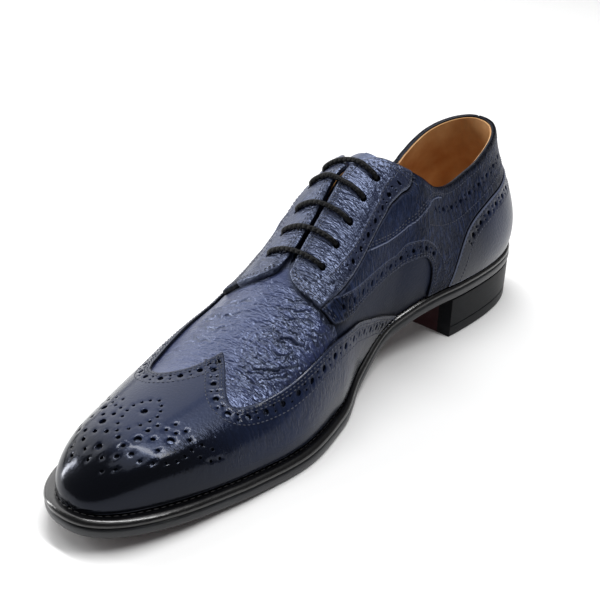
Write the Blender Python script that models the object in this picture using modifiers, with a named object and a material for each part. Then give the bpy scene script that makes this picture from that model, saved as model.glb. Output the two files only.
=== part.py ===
# Open-laced wingtip dress shoe, right foot.
# Toe towards -Y, medial side towards +X, standing on Z = 0. Sizes below are millimetres.
import bisect
import math

import bmesh
import bpy
import numpy as np

MM = 0.001

# Driving sizes of the bottom
LENGTH = 308.0           # sole, back of the heel to the toe tip
HEEL_HEIGHT = 22.0       # floor to the underside of the sole at the heel seat
SEAT_END = 84.0          # the heel seat is level back of this station
WAIST_END = 178.0        # front end of the arch, where the sole reaches the floor
SPRING_START = 214.0     # the sole leaves the floor again here
TOE_SPRING = 8.0
SPRING_POWER = 1.7
OUTSOLE = 4.7            # thickness of the outsole
WELT = 3.0               # thickness of the welt
INSOLE_RISE = 1.2        # the insole stands this far above the welt
BREAST = 81.0            # front face of the heel
HEEL_TAPER = 0.8         # the heel draws in this much towards the floor

# Driving sizes of the upper
GAP = 0.3                # clearance between pieces that touch
OVERLAY_GAP = 0.4        # overlays stand this far off the upper
WALL = 1.8               # upper leather with its lining
WING_THICK = 1.2
QUARTER_THICK = 1.2
EYESTAY_THICK = 1.6
COUNTER_THICK = 1.5
TONGUE_THICK = 1.8
LACE_RADIUS = 1.3
HEEL_INSET = 4.0         # back of the upper, in from the back of the sole
TOE_INSET = 6.0          # front of the upper, in from the toe tip of the sole
HEEL_AXIS = 6.0          # the heel's middle line lies this far to the medial side
TIP_AXIS = 3.0           # and the toe tip this far
HEEL_CENTRE = 60.0       # the heel sections fan out round this station
THROAT = 180.0           # lower end of the slot between the facings
EYELET_REACH = 15.0      # eyelet to the middle line, over the leather
LAST_EYELET = 169.0
EYELET_STEP = 9.8
EYELET_ROWS = 5
BAR_STEPS = 4            # pieces of a lace bar on each side of the slot
OVERLAY_LIFT = 0.012     # overlays start this share of the wall above the welt
SEAM = 0.8               # width of the joint between two overlays

STACK = OUTSOLE + GAP + WELT + GAP
UPPER_TIP = LENGTH - TOE_INSET

# Sole outline: station, half width on the medial and on the lateral side
OUTLINE_COLUMNS = ("station", "medial", "lateral")
OUTLINE = [
    (0, 38.4, 26.4),
    (28, 41.0, 29.2),
    (55, 40.0, 29.8),
    (75, 38.2, 31.2),
    (90, 35.2, 33.4),
    (108, 30.2, 37.4),
    (124, 26.6, 39.8),
    (150, 30.8, 46.0),
    (180, 42.0, 52.2),
    (210, 46.9, 50.0),
    (240, 42.6, 41.7),
    (265, 36.9, 33.4),
    (285, 33.6, 29.8),
    (308, 31.0, 29.0),
]
HEEL_ROUND = (60.0, 2.6)  # run and power of the rounded back end
TOE_ROUND = (50.0, 2.3)   # run and power of the rounded toe

# Ledge of welt left outside the upper
LEDGE = [
    (0, 2.4, 2.4),
    (60, 2.0, 2.0),
    (110, 2.0, 2.5),
    (150, 3.4, 4.2),
    (190, 5.2, 5.2),
    (250, 5.6, 5.6),
    (308, 5.8, 5.8),
]

# One row for each section of the last. ridge: sideways place of the middle line. top: height of the
# top line, the collar behind station 134 and the ridge in front of it. open: half width of the opening.
# bulge, rise: how far out and how high the lower wall is pulled. shoulder, drop: the same at the top.
SECTION_COLUMNS = ("station", "ridge", "top_medial", "top_lateral", "open_medial", "open_lateral",
                   "bulge_medial", "bulge_lateral", "rise_medial", "rise_lateral",
                   "shoulder_medial", "shoulder_lateral", "drop")
SECTIONS = [
    (0, 6.0, 94.6, 94.6, 46.0, 46.0, 5.5, 5.5, .38, .38, 2.5, 2.5, .34),
    (3, 6.0, 94.5, 94.4, 45.7, 45.7, 5.6, 5.6, .38, .38, 2.5, 2.5, .34),
    (8, 6.0, 94.1, 93.4, 44.0, 44.0, 6.0, 6.0, .38, .38, 2.5, 2.5, .34),
    (16, 6.0, 93.0, 91.0, 38.6, 38.8, 7.2, 6.5, .38, .38, 2.5, 2.5, .34),
    (24, 6.0, 91.6, 88.0, 33.2, 33.2, 8.0, 6.8, .38, .38, 2.5, 2.5, .34),
    (33, 6.0, 89.8, 84.4, 28.4, 27.8, 8.2, 6.5, .38, .38, 2.5, 2.5, .34),
    (45, 6.0, 87.4, 80.6, 24.6, 23.2, 8.0, 6.0, .38, .38, 2.5, 2.5, .34),
    (62, 6.0, 84.6, 77.2, 22.8, 20.6, 7.6, 5.5, .38, .38, 2.5, 2.5, .33),
    (80, 6.0, 82.4, 77.2, 23.0, 20.2, 7.4, 5.0, .40, .38, 2.8, 3.0, .31),
    (95, 6.1, 86.0, 83.4, 23.4, 20.0, 9.0, 4.5, .44, .38, 3.2, 4.2, .26),
    (107, 6.2, 94.0, 91.4, 23.0, 18.4, 11.5, 4.0, .50, .39, 5.5, 7.0, .18),
    (116, 6.2, 100.4, 96.8, 18.0, 13.4, 13.0, 3.5, .56, .40, 10.0, 9.4, .11),
    (124, 6.1, 104.6, 101.0, 9.0, 7.0, 13.0, 3.2, .62, .40, 16.0, 12.5, .04),
    (134, 6.0, 100.0, 100.0, 0, 0, 12.0, 3.0, .68, .39, 23.5, 16.0, 0),
    (155, 5.8, 82.4, 82.4, 0, 0, 8.0, 2.6, .73, .34, 27.0, 18.0, 0),
    (181, 5.6, 62.6, 62.6, 0, 0, 5.0, 2.2, .75, .31, 32.0, 22.5, 0),
    (205, 5.2, 49.0, 49.0, 0, 0, 3.0, 2.0, .71, .43, 31.0, 28.0, 0),
    (228, 4.3, 39.6, 39.6, 0, 0, 2.0, 1.8, .67, .57, 27.0, 27.5, 0),
    (255, 3.7, 36.2, 36.2, 0, 0, 1.4, 1.4, .68, .66, 23.0, 23.5, 0),
    (280, 3.2, 34.0, 34.0, 0, 0, 1.0, 1.0, .70, .70, 18.0, 18.0, 0),
    (302, 3.0, 31.5, 31.5, 0, 0, .6, .6, .70, .70, 13.0, 13.0, 0),
]
TOE_CLOSE = (29.0, 2.4)   # run and power with which the toe box closes at its tip

# Where the mesh takes its sections: last station of each run and its number of steps
STATION_RUNS = [(60.0, 8), (124.0, 9), (180.0, 8), (273.0, 11)]
TOE_STEPS = 6
WALL_STEPS = (0, .06, .16, .27, .38, .49, .60, .71, .81, .91, 1.0)
KNOT_CLEAR = 1.5          # an overlay's own column stays this far from the upper's stations
FREE_RUN = 12.0           # and the wing's own lines join the upper's this far from its edge

# Half width of the slot between the facings
SLOT = [(112, 1.4), (150, 1.6), (165, 2.6), (176, 4.2), (182, 5.0)]

# Rear edge of the wing cap: share of the wall up from the welt, station on each side
WING_EDGE = [
    (0, 114, 110),
    (.06, 127, 121),
    (.11, 137, 128),
    (.16, 146, 134),
    (.27, 161, 147),
    (.33, 169, 154),
    (.38, 176, 160),
    (.42, 183, 165),
    (.445, 191, 169),
    (.47, 200, 174),
    (.49, 209, 181),
    (.51, 216, 191),
    (.53, 221, 204),
    (.55, 226, 217),
    (.575, 231, 226),
    (.60, 234, 231.5),
    (.65, 236, 236),
    (.71, 235, 238),
    (.76, 233, 238.5),
    (.81, 230.5, 237.5),
    (.86, 227, 235),
    (.91, 223.5, 231),
    (1.0, 217, 217),
]
# Lower edge of the quarter in front of the heel: station, millimetres up the wall
ARCH_EDGE = [(98.5, 0), (99.5, 9), (101, 18), (104, 25), (110, 31.5), (118, 34), (127, 35), (143, 38.7),
             (160, 41.2), (182, 44)]
# Top edge of the heel counter: station, millimetres up the wall
COUNTER_EDGE = [(0, 43), (10, 42.5), (21, 41), (32, 39), (48, 36.5), (62, 33), (72, 28.5), (79, 22),
                (83, 14), (84.1, 9.5), (84.9, 4.5), (85.5, 0)]
# Rear edge of the eyestay: station, millimetres down from the top line
EYESTAY_EDGE = [(112, 0), (116, 8), (121, 16), (128, 24), (134, 28.5), (150, 29), (165, 28), (182, 24)]
EYESTAY_END = 181.0
# Middle line of the tongue above station 134, and its half width and depth below the upper
TONGUE_RIDGE = [(119, 108.0), (124, 106.3), (128, 104.0), (134, 100.0)]
TONGUE_HALF = [(119, 23.0), (150, 24.0), (180, 20.0), (198, 15.0)]
TONGUE_DEPTH = [(119, 5.4), (172, 5.4), (187, WALL + GAP), (198, WALL + GAP)]
TONGUE_STEPS = 8

# Material colours, roughness
NAVY = ((0.036, 0.042, 0.078), 0.45)
BURNISHED = ((0.030, 0.034, 0.062), 0.35)
BLACK = ((0.010, 0.010, 0.012), 0.40)
SOLE_BLACK = ((0.014, 0.013, 0.014), 0.50)
TAN = ((0.42, 0.20, 0.09), 0.55)


def curve(rows, column, at):
    """Smooth value of a table's column: cubic pieces that never overshoot the rows."""
    knots = np.array([row[0] for row in rows], float)
    values = np.array([row[column] for row in rows], float)
    span = np.diff(knots)
    slope = np.diff(values) / span
    tangent = np.zeros(len(knots))
    tangent[0] = slope[0]
    tangent[-1] = slope[-1]
    for i in range(1, len(knots) - 1):
        if slope[i - 1] * slope[i] > 0:
            near = 2 * span[i] + span[i - 1]
            far = span[i] + 2 * span[i - 1]
            tangent[i] = (near + far) / (near / slope[i - 1] + far / slope[i])
    at = min(max(float(at), knots[0]), knots[-1])
    i = min(max(int(np.searchsorted(knots, at, side="right")) - 1, 0), len(knots) - 2)
    t = (at - knots[i]) / span[i]
    start = (1 + 2 * t) * (1 - t) ** 2 * values[i] + t * (1 - t) ** 2 * span[i] * tangent[i]
    end = t * t * (3 - 2 * t) * values[i + 1] + t * t * (t - 1) * span[i] * tangent[i + 1]
    return start + end


def ease(t):
    t = min(max(t, 0.0), 1.0)
    return t * t * (3 - 2 * t)


def side_name(side):
    return "medial" if side > 0 else "lateral"


def sole_height(y):
    """Underside of the sole: level seat, arch, level tread, toe spring."""
    arch = HEEL_HEIGHT * ease((WAIST_END - y) / (WAIST_END - SEAT_END))
    spring = TOE_SPRING * max(0.0, (y - SPRING_START) / (LENGTH - SPRING_START)) ** SPRING_POWER
    return arch + spring


def half_width(y, side, ledge=0.0, inset=0.0, start=0.0, end=LENGTH):
    """Distance of an outline from the long axis, rounded off at its two ends."""
    column = OUTLINE_COLUMNS.index(side_name(side))
    width = curve(OUTLINE, column, y) - ledge * curve(LEDGE, column, y) - inset
    axis = side * (TIP_AXIS * ease((y - end + 70) / 70) + HEEL_AXIS * ease((80 - y) / 80))
    back = min(max((start + HEEL_ROUND[0] - y) / HEEL_ROUND[0], 0.0), 1.0)
    front = min(max((y - end + TOE_ROUND[0]) / TOE_ROUND[0], 0.0), 1.0)
    heel = (1 - back ** HEEL_ROUND[1]) ** (1 / HEEL_ROUND[1])
    toe = (1 - front ** TOE_ROUND[1]) ** (1 / TOE_ROUND[1])
    return axis + (width - axis) * heel * toe


def feather_point(q, side):
    """Point of the upper's lower edge at a station, and the outward direction of the section there."""
    if q >= HEEL_CENTRE:
        width = half_width(q, side, 1.0, 0.0, HEEL_INSET, UPPER_TIP)
        return np.array([side * width, q]), np.array([float(side), 0.0])
    angle = (1 - q / HEEL_CENTRE) * math.pi / 2
    out = np.array([side * math.cos(angle), -math.sin(angle)])
    low, high = 0.0, HEEL_CENTRE
    for _ in range(30):
        middle = (low + high) / 2
        y = HEEL_CENTRE + out[1] * middle
        reach = HEEL_AXIS * side + abs(out[0]) * middle
        inside = y > HEEL_INSET and half_width(y, side, 1.0, 0.0, HEEL_INSET, UPPER_TIP) >= reach
        low, high = (middle, high) if inside else (low, middle)
    return np.array([HEEL_AXIS, HEEL_CENTRE]) + out * low, out


SECTION_CACHE = {}
NODE_CACHE = {}


def section(q, side):
    """Four corners of the cubic that is the wall at a station, from the welt to the top line."""
    key = (round(q, 5), side)
    if key in SECTION_CACHE:
        return SECTION_CACHE[key]
    foot, out = feather_point(q, side)
    base = sole_height(foot[1]) + STACK
    row = {name: curve(SECTIONS, i, q) for i, name in enumerate(SECTION_COLUMNS) if i}
    name = "_" + side_name(side)
    close = math.sqrt(max(0.0, 1 - max(0.0, (q - UPPER_TIP + TOE_CLOSE[0]) / TOE_CLOSE[0]) ** TOE_CLOSE[1]))
    blend = ease((q - HEEL_CENTRE) / 40)
    axis = np.array([row["ridge"] * blend + HEEL_AXIS * (1 - blend), max(q, HEEL_CENTRE)])
    crown = axis + out * row["open" + name]
    top = base + (row["top" + name] - base) * close
    height = top - base
    low = foot + out * row["bulge" + name] * close
    high = crown + out * row["shoulder" + name] * close
    corners = np.array([
        (*foot, base),
        (*low, base + row["rise" + name] * height),
        (*high, top - row["drop"] * height),
        (*crown, top),
    ])
    SECTION_CACHE[key] = corners
    return corners


def wall_point(q, v, side):
    a, b, c, d = section(q, side)
    return (1 - v) ** 3 * a + 3 * (1 - v) ** 2 * v * b + 3 * (1 - v) * v * v * c + v ** 3 * d


def wall_normal(q, v, side):
    """Outward direction of the upper, pointing straight ahead at the very tip."""
    q = min(q, UPPER_TIP - 0.4)
    step = 0.2
    v_low, v_high = max(v - 0.01, 0.0), min(v + 0.01, 1.0)
    along = wall_point(q + step, v, side) - wall_point(max(q - step, 0.0), v, side)
    up = wall_point(q, v_high, side) - wall_point(q, v_low, side)
    normal = np.cross(along, up) * side
    return normal / max(np.linalg.norm(normal), 1e-9)


def lift(q, v, side, height):
    if q > UPPER_TIP - 0.1:
        return wall_point(q, v, side) + np.array([0.0, height, 0.0])
    return wall_point(q, v, side) + wall_normal(q, v, side) * height


def share_up(q, side, up):
    """Share of the wall at a length up from the welt, or down from the top line when negative."""
    shares = np.linspace(0, 1, 41)
    points = np.array([wall_point(q, v, side) for v in shares])
    run = np.concatenate([[0], np.cumsum(np.linalg.norm(np.diff(points, axis=0), axis=1))])
    want = up if up >= 0 else run[-1] + up
    return float(np.interp(want, run, shares))


def slot_share(q, side):
    """Share of the wall at the edge of the slot, 1 where the opening is wider or the vamp is whole."""
    if q > THROAT + 0.01:
        return 1.0
    axis = curve(SECTIONS, SECTION_COLUMNS.index("ridge"), q)
    half = curve(SLOT, 1, q)
    low, high = 0.5, 1.0
    if q < HEEL_CENTRE or abs(wall_point(q, 1.0, side)[0] - axis) >= half:
        return 1.0
    for _ in range(30):
        middle = (low + high) / 2
        low, high = (middle, high) if abs(wall_point(q, middle, side)[0] - axis) > half else (low, middle)
    return low


def mesh_stations():
    stations = [0.0]
    for end, steps in STATION_RUNS:
        start = stations[-1]
        stations += [start + (end - start) * (k + 1) / steps for k in range(steps)]
    run = UPPER_TIP - stations[-1]
    start = stations[-1]
    return stations + [start + run * math.sin((k + 1) / TOE_STEPS * math.pi / 2) for k in range(TOE_STEPS)]


STATIONS = mesh_stations()
REACH = [max(half_width(y, side) for y in STATIONS) for side in (1, -1)]
CENTRE_SHIFT = (REACH[1] - REACH[0]) / 2


def world(point):
    x, y, z = point
    return ((x + CENTRE_SHIFT) * MM, (LENGTH / 2 - y) * MM, z * MM)


def material(name, look):
    colour, roughness = look
    made = bpy.data.materials.new(name)
    made.use_nodes = True
    shader = made.node_tree.nodes["Principled BSDF"]
    shader.inputs["Base Color"].default_value = (*colour, 1.0)
    shader.inputs["Roughness"].default_value = roughness
    shader.inputs["Metallic"].default_value = 0.0
    return made


def add_piece(name, bm, finish):
    """Close the books on a mesh: merge what meets, point faces out, make the object."""
    bmesh.ops.remove_doubles(bm, verts=bm.verts, dist=0.00002)
    mesh = bpy.data.meshes.new(name)
    bm.to_mesh(mesh)
    bm.free()
    mesh.shade_smooth()
    mesh.set_sharp_from_angle(angle=math.radians(40))
    piece = bpy.data.objects.new(name, mesh)
    mesh.materials.append(finish)
    SHOE.objects.link(piece)
    return piece


def add_strip(bm, grid):
    """Quads over a grid of points, rows by columns."""
    verts = [[bm.verts.new(world(p)) for p in row] for row in grid]
    for low, high in zip(verts[:-1], verts[1:]):
        for a, b, c, d in zip(low[:-1], low[1:], high[1:], high[:-1]):
            bm.faces.new((a, b, c, d))
    return verts


def leather(name, grids, thickness, outwards, finish):
    """A sheet on the last, open at its edges, given its thickness inwards or outwards."""
    bm = bmesh.new()
    for grid, side in grids:
        rows = grid if side > 0 else [row[::-1] for row in grid]
        add_strip(bm, rows)
    bmesh.ops.remove_doubles(bm, verts=bm.verts, dist=0.00002)
    bmesh.ops.dissolve_degenerate(bm, edges=bm.edges, dist=0.00001)
    piece = add_piece(name, bm, finish)
    solid = piece.modifiers.new("thickness", "SOLIDIFY")
    solid.thickness = thickness * MM
    solid.offset = 1.0 if outwards else -1.0
    solid.use_quality_normals = True
    return piece


def outline_stations():
    """Stations of an outline, 0 to 1 of its length, close together at the rounded ends."""
    back = [HEEL_ROUND[0] * (1 - math.cos(k / 7 * math.pi / 2)) for k in range(8)]
    front = [LENGTH - TOE_ROUND[0] * (1 - math.sin(k / 8 * math.pi / 2)) for k in range(9)]
    steps = 16
    middle = [back[-1] + (front[0] - back[-1]) * k / steps for k in range(1, steps)]
    return [y / LENGTH for y in back + middle + front]


def outline_loop(height, ledge=0.0, inset=0.0, start=0.0, end=LENGTH):
    """Points round an outline, up the medial side and back down the lateral one."""
    stations = [start + (end - start) * s for s in outline_stations()]
    sides = []
    for side in (1, -1):
        sides.append([(side * half_width(y, side, ledge, inset, start, end), y, sole_height(y) + height)
                      for y in stations])
    return sides[0] + sides[1][-2:0:-1]


def add_rings(bm, loops, around=False):
    """Walls between loops of equal length, and back to the first loop if asked."""
    rings = [[bm.verts.new(world(p)) for p in loop] for loop in loops]
    pairs = list(zip(rings[:-1], rings[1:]))
    if around:
        pairs.append((rings[-1], rings[0]))
    for low, high in pairs:
        for i in range(len(low)):
            j = (i + 1) % len(low)
            bm.faces.new((low[i], low[j], high[j], high[i]))
    return rings


def cap(bm, ring):
    """Close a loop with faces that run straight across from side to side."""
    count = len(ring)
    half = count // 2
    for i in range(half):
        corners = [ring[i], ring[i + 1], ring[(count - i - 1) % count], ring[(count - i) % count]]
        bm.faces.new(list(dict.fromkeys(corners)))


def plate(name, profile, finish, **outline):
    """A curved plate: loops from its lower to its upper edge, closed below and above."""
    bm = bmesh.new()
    loops = []
    for inset, height in profile:
        loops.append(outline_loop(height, outline.get("ledge", 0.0), outline.get("inset", 0.0) + inset,
                                  outline.get("start", 0.0) + inset, outline.get("end", LENGTH) - inset))
    rings = add_rings(bm, loops)
    cap(bm, rings[0])
    cap(bm, rings[-1])
    bmesh.ops.recalc_face_normals(bm, faces=bm.faces)
    return add_piece(name, bm, finish)


def make_outsole(finish):
    profile = [(1.4, 0), (0.5, 0.5), (0.05, 1.5), (0, 2.6), (0.25, 4.2), (0.7, OUTSOLE)]
    return plate("outsole", profile, finish)


def make_insole(finish):
    low = OUTSOLE + GAP
    high = low + WELT + INSOLE_RISE
    clear = WALL + 0.8
    return plate("insole", [(0, low), (0, high - 0.6), (0.6, high)], finish, ledge=1.0, inset=clear,
                 start=HEEL_INSET + clear, end=UPPER_TIP - clear)


def make_welt(finish):
    """A ring between outsole and upper, with a rounded rim and a flat ledge."""
    low = OUTSOLE + GAP
    rim = [(0.7, low), (0.1, low + 0.7), (0, low + 1.6), (0.3, low + 2.6), (0.9, low + WELT)]
    loops = [outline_loop(h, 0.0, inset, inset, LENGTH - inset) for inset, h in rim]
    for height in (low + WELT, low):
        loops.append(outline_loop(height, 1.0, WALL, HEEL_INSET + WALL, UPPER_TIP - WALL))
    bm = bmesh.new()
    add_rings(bm, loops, around=True)
    bmesh.ops.recalc_face_normals(bm, faces=bm.faces)
    return add_piece("welt", bm, finish)


def make_heel(finish):
    """A block under the level seat, with a breast that is hollowed a little."""
    top = HEEL_HEIGHT - GAP
    hollow = 2.5
    loops = []
    for inset, height in ((HEEL_TAPER + 0.6, 0.0), (HEEL_TAPER, 0.6), (0.3, top - 0.6), (0.6, top)):
        stations = [inset + (BREAST - inset) * (1 - math.cos(k / 10 * math.pi / 2)) for k in range(11)]
        sides = [[(side * half_width(y, side, 0.0, inset, inset), y, height) for y in stations] for side in (1, -1)]
        left, right = sides[0][-1], sides[1][-1]
        breast = []
        for k in range(1, 8):
            t = k / 8
            breast.append((left[0] + (right[0] - left[0]) * t, BREAST - hollow * math.sin(t * math.pi), height))
        loops.append(sides[0] + breast + sides[1][:0:-1])
    bm = bmesh.new()
    rings = add_rings(bm, loops)
    bm.faces.new(rings[0])
    bm.faces.new(rings[-1])
    bmesh.ops.recalc_face_normals(bm, faces=bm.faces)
    return add_piece("heel", bm, finish)


def make_upper(finish):
    """The hollow shell from welt to top line, open at the collar, the throat and underneath."""
    grids = []
    for side in (1, -1):
        grid = []
        for q in STATIONS:
            limit = slot_share(q, side)
            grid.append([wall_point(q, v * limit, side) for v in WALL_STEPS])
        grids.append((grid, side))
    return leather("upper", grids, WALL, False, finish)


def node(i, j, side, height):
    """Corner of the upper's facets, lifted off the leather."""
    key = (i, j, side, height)
    if key not in NODE_CACHE:
        q = STATIONS[i]
        NODE_CACHE[key] = lift(q, WALL_STEPS[j] * slot_share(q, side), side, height)
    return NODE_CACHE[key]


def skin(q, share, side, height):
    """Point over the upper's own facets, so that an overlay keeps its distance from them."""
    i = min(max(bisect.bisect_right(STATIONS, q) - 1, 0), len(STATIONS) - 2)
    j = min(max(bisect.bisect_right(WALL_STEPS, share) - 1, 0), len(WALL_STEPS) - 2)
    t = (q - STATIONS[i]) / (STATIONS[i + 1] - STATIONS[i])
    u = (share - WALL_STEPS[j]) / (WALL_STEPS[j + 1] - WALL_STEPS[j])
    back = node(i, j, side, height) * (1 - u) + node(i, j + 1, side, height) * u
    front = node(i + 1, j, side, height) * (1 - u) + node(i + 1, j + 1, side, height) * u
    return back * (1 - t) + front * t


def columns(first, last, knots):
    """Stations of an overlay: the upper's own, and the knots of its edge that lie well between them."""
    own = [q for q in STATIONS if first + KNOT_CLEAR < q < last - KNOT_CLEAR]
    free = [q for q in knots if first + KNOT_CLEAR < q < last - KNOT_CLEAR
            and min(abs(q - station) for station in STATIONS) > KNOT_CLEAR]
    return sorted([first, last] + own + free)


def wall_overlay(side, first, last, knots, lower, upper):
    """Grid of an overlay between two edges, given as shares of the wall below the slot."""
    grid = []
    for q in columns(first, last, knots):
        low, high = lower(q), upper(q)
        steps = [min(max(share, low), high) for share in WALL_STEPS]
        steps[0], steps[-1] = low, high
        grid.append([skin(q, share, side, OVERLAY_GAP) for share in steps])
    return grid


def make_wing_cap(finish):
    """Toe cap whose edge runs back in two wings, pointed in the middle of the vamp."""
    grids = []
    for side in (1, -1):
        column = 1 if side > 0 else 2
        lines = []
        free = [row[0] for row in WING_EDGE if min(abs(row[0] - v) for v in WALL_STEPS) > 0.012]
        for v in sorted(WALL_STEPS[1:] + (OVERLAY_LIFT, *free)):
            edge = curve(WING_EDGE, column, v)
            settled = max(step for step in WALL_STEPS if step <= v) if v in free else v
            line = []
            for q in STATIONS:
                line.append(skin(max(q, edge), v if q < edge + FREE_RUN else settled, side, OVERLAY_GAP))
            lines.append(line)
        grids.append(([list(row) for row in zip(*lines)], side))
    return leather("wing_cap", grids, WING_THICK, True, finish)


def wall_share(q, side, up):
    """Share of the wall below the slot at a length up from the welt, or down from the top line."""
    return min(share_up(q, side, up) / slot_share(q, side), 1.0)


def make_heel_counter(finish):
    grids = []
    end = COUNTER_EDGE[-1][0] - SEAM
    knots = [row[0] for row in COUNTER_EDGE]
    for side in (1, -1):
        grid = wall_overlay(side, 0.0, end, knots, lambda q: OVERLAY_LIFT,
                            lambda q, s=side: wall_share(q, s, curve(COUNTER_EDGE, 1, q)))
        grids.append((grid, side))
    return leather("heel_counter", grids, COUNTER_THICK, True, finish)


def quarter_low(q, side):
    """Lower edge of the quarter: along the counter, then the welt, then over the arch."""
    up = 0.0
    if q < COUNTER_EDGE[-1][0] + SEAM:
        up = curve(COUNTER_EDGE, 1, q - SEAM) + SEAM
    elif q > ARCH_EDGE[0][0]:
        up = curve(ARCH_EDGE, 1, q)
    return max(wall_share(q, side, up), OVERLAY_LIFT)


def quarter_high(q, side):
    if q <= EYESTAY_EDGE[0][0]:
        return 1.0
    return wall_share(q, side, -curve(EYESTAY_EDGE, 1, q + SEAM) - SEAM)


def make_quarter(side, finish):
    """Side panel from the back seam to the vamp, arched over the waist and cut away for the counter."""
    knots = [row[0] + SEAM for row in COUNTER_EDGE] + [row[0] for row in ARCH_EDGE + EYESTAY_EDGE]
    grid = wall_overlay(side, SEAM / 2, EYESTAY_END, knots, lambda q: quarter_low(q, side),
                        lambda q: quarter_high(q, side))
    return leather("quarter_" + side_name(side), [(grid, side)], QUARTER_THICK, True, finish)


def make_eyestay(side, finish):
    """Facing with the eyelets, from the collar down to the end of the slot."""
    knots = [row[0] for row in EYESTAY_EDGE]
    grid = wall_overlay(side, EYESTAY_EDGE[0][0] + 2 * SEAM, EYESTAY_END, knots,
                        lambda q: wall_share(q, side, -curve(EYESTAY_EDGE, 1, q)), lambda q: 1.0)
    return leather("eyestay_" + side_name(side), [(grid, side)], EYESTAY_THICK, True, finish)


def tongue_point(q, down, side):
    """Point under the facings, a length down from the middle line."""
    joint = TONGUE_RIDGE[-1][0]
    on = max(q, joint)
    v = share_up(on, side, -max(down, 0.001))
    point = lift(on, v, side, -curve(TONGUE_DEPTH, 1, q))
    if q < joint:
        point = point + np.array([0.0, q - joint, curve(TONGUE_RIDGE, 1, q) - TONGUE_RIDGE[-1][1]])
    return point


def make_tongue(finish):
    first, last = TONGUE_HALF[0][0], TONGUE_HALF[-1][0]
    inner = [q for q in STATIONS if first + 2.0 < q < last - 2.0]
    grid = []
    for q in [first] + inner + [last]:
        half = curve(TONGUE_HALF, 1, q)
        row = []
        for k in range(TONGUE_STEPS + 1):
            across = half * (2 * k / TONGUE_STEPS - 1)
            row.append(tongue_point(q, abs(across), 1 if across >= 0 else -1))
        grid.append(row[::-1])
    return leather("tongue", [(grid, 1)], TONGUE_THICK, False, finish)


def eyelet_share(q, side):
    return share_up(q, side, -(EYELET_REACH - curve(SECTIONS, SECTION_COLUMNS.index("open_" + side_name(side)), q)))


def make_lace_bar(number, finish):
    """One straight bar of lace across the facings, from eyelet to eyelet."""
    q = LAST_EYELET - EYELET_STEP * number
    over = OVERLAY_GAP + EYESTAY_THICK + GAP + LACE_RADIUS
    points = []
    for side in (-1, 1):
        start = eyelet_share(q, side)
        end = slot_share(q, side)
        half = [lift(q, start + (end - start) * k / BAR_STEPS, side, over) for k in range(BAR_STEPS + 1)]
        points += half if side < 0 else half[::-1]
    data = bpy.data.curves.new("lace_bar_%d" % (number + 1), "CURVE")
    data.dimensions = "3D"
    data.bevel_depth = LACE_RADIUS * MM
    data.bevel_resolution = 2
    data.use_fill_caps = True
    spline = data.splines.new("POLY")
    spline.points.add(len(points) - 1)
    for knot, point in zip(spline.points, points):
        knot.co = (*world(point), 1.0)
    bar = bpy.data.objects.new(data.name, data)
    data.materials.append(finish)
    SHOE.objects.link(bar)
    return bar


for old in list(bpy.data.objects):
    bpy.data.objects.remove(old)

SHOE = bpy.data.collections.new("wingtip_shoe")
bpy.context.scene.collection.children.link(SHOE)

navy = material("navy_calf", NAVY)
burnished = material("burnished_navy_calf", BURNISHED)
black = material("black_edge", BLACK)
sole_black = material("black_sole_leather", SOLE_BLACK)
tan = material("tan_lining", TAN)
lace_black = material("waxed_lace", BLACK)

make_outsole(sole_black)
make_welt(black)
make_heel(sole_black)
make_insole(tan)
make_upper(navy)
make_tongue(navy)
make_wing_cap(burnished)
make_heel_counter(burnished)
for foot_side in (1, -1):
    make_quarter(foot_side, navy)
    make_eyestay(foot_side, navy)
for bar_number in range(EYELET_ROWS):
    make_lace_bar(bar_number, lace_black)
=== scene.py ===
import math
import bmesh
import bpy
import numpy as np
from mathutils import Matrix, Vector, kdtree
from mathutils.geometry import delaunay_2d_cdt


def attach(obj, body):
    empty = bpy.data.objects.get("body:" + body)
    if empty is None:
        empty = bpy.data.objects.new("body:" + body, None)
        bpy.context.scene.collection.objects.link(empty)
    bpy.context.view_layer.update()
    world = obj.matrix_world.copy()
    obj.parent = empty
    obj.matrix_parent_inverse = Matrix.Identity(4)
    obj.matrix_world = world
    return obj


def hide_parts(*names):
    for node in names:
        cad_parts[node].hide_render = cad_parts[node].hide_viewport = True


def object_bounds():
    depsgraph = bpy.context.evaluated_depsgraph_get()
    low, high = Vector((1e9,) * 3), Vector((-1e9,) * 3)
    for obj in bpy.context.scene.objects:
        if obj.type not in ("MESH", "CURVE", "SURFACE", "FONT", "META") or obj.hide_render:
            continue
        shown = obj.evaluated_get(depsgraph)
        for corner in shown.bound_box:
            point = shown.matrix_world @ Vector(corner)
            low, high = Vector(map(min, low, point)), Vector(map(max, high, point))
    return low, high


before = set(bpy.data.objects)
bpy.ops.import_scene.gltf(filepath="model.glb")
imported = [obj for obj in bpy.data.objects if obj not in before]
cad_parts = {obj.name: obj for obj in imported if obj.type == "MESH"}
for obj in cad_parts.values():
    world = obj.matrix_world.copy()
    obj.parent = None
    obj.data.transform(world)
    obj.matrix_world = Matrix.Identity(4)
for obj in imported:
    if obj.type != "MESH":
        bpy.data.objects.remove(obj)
cadLow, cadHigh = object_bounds()
print("frame loaded")

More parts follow.
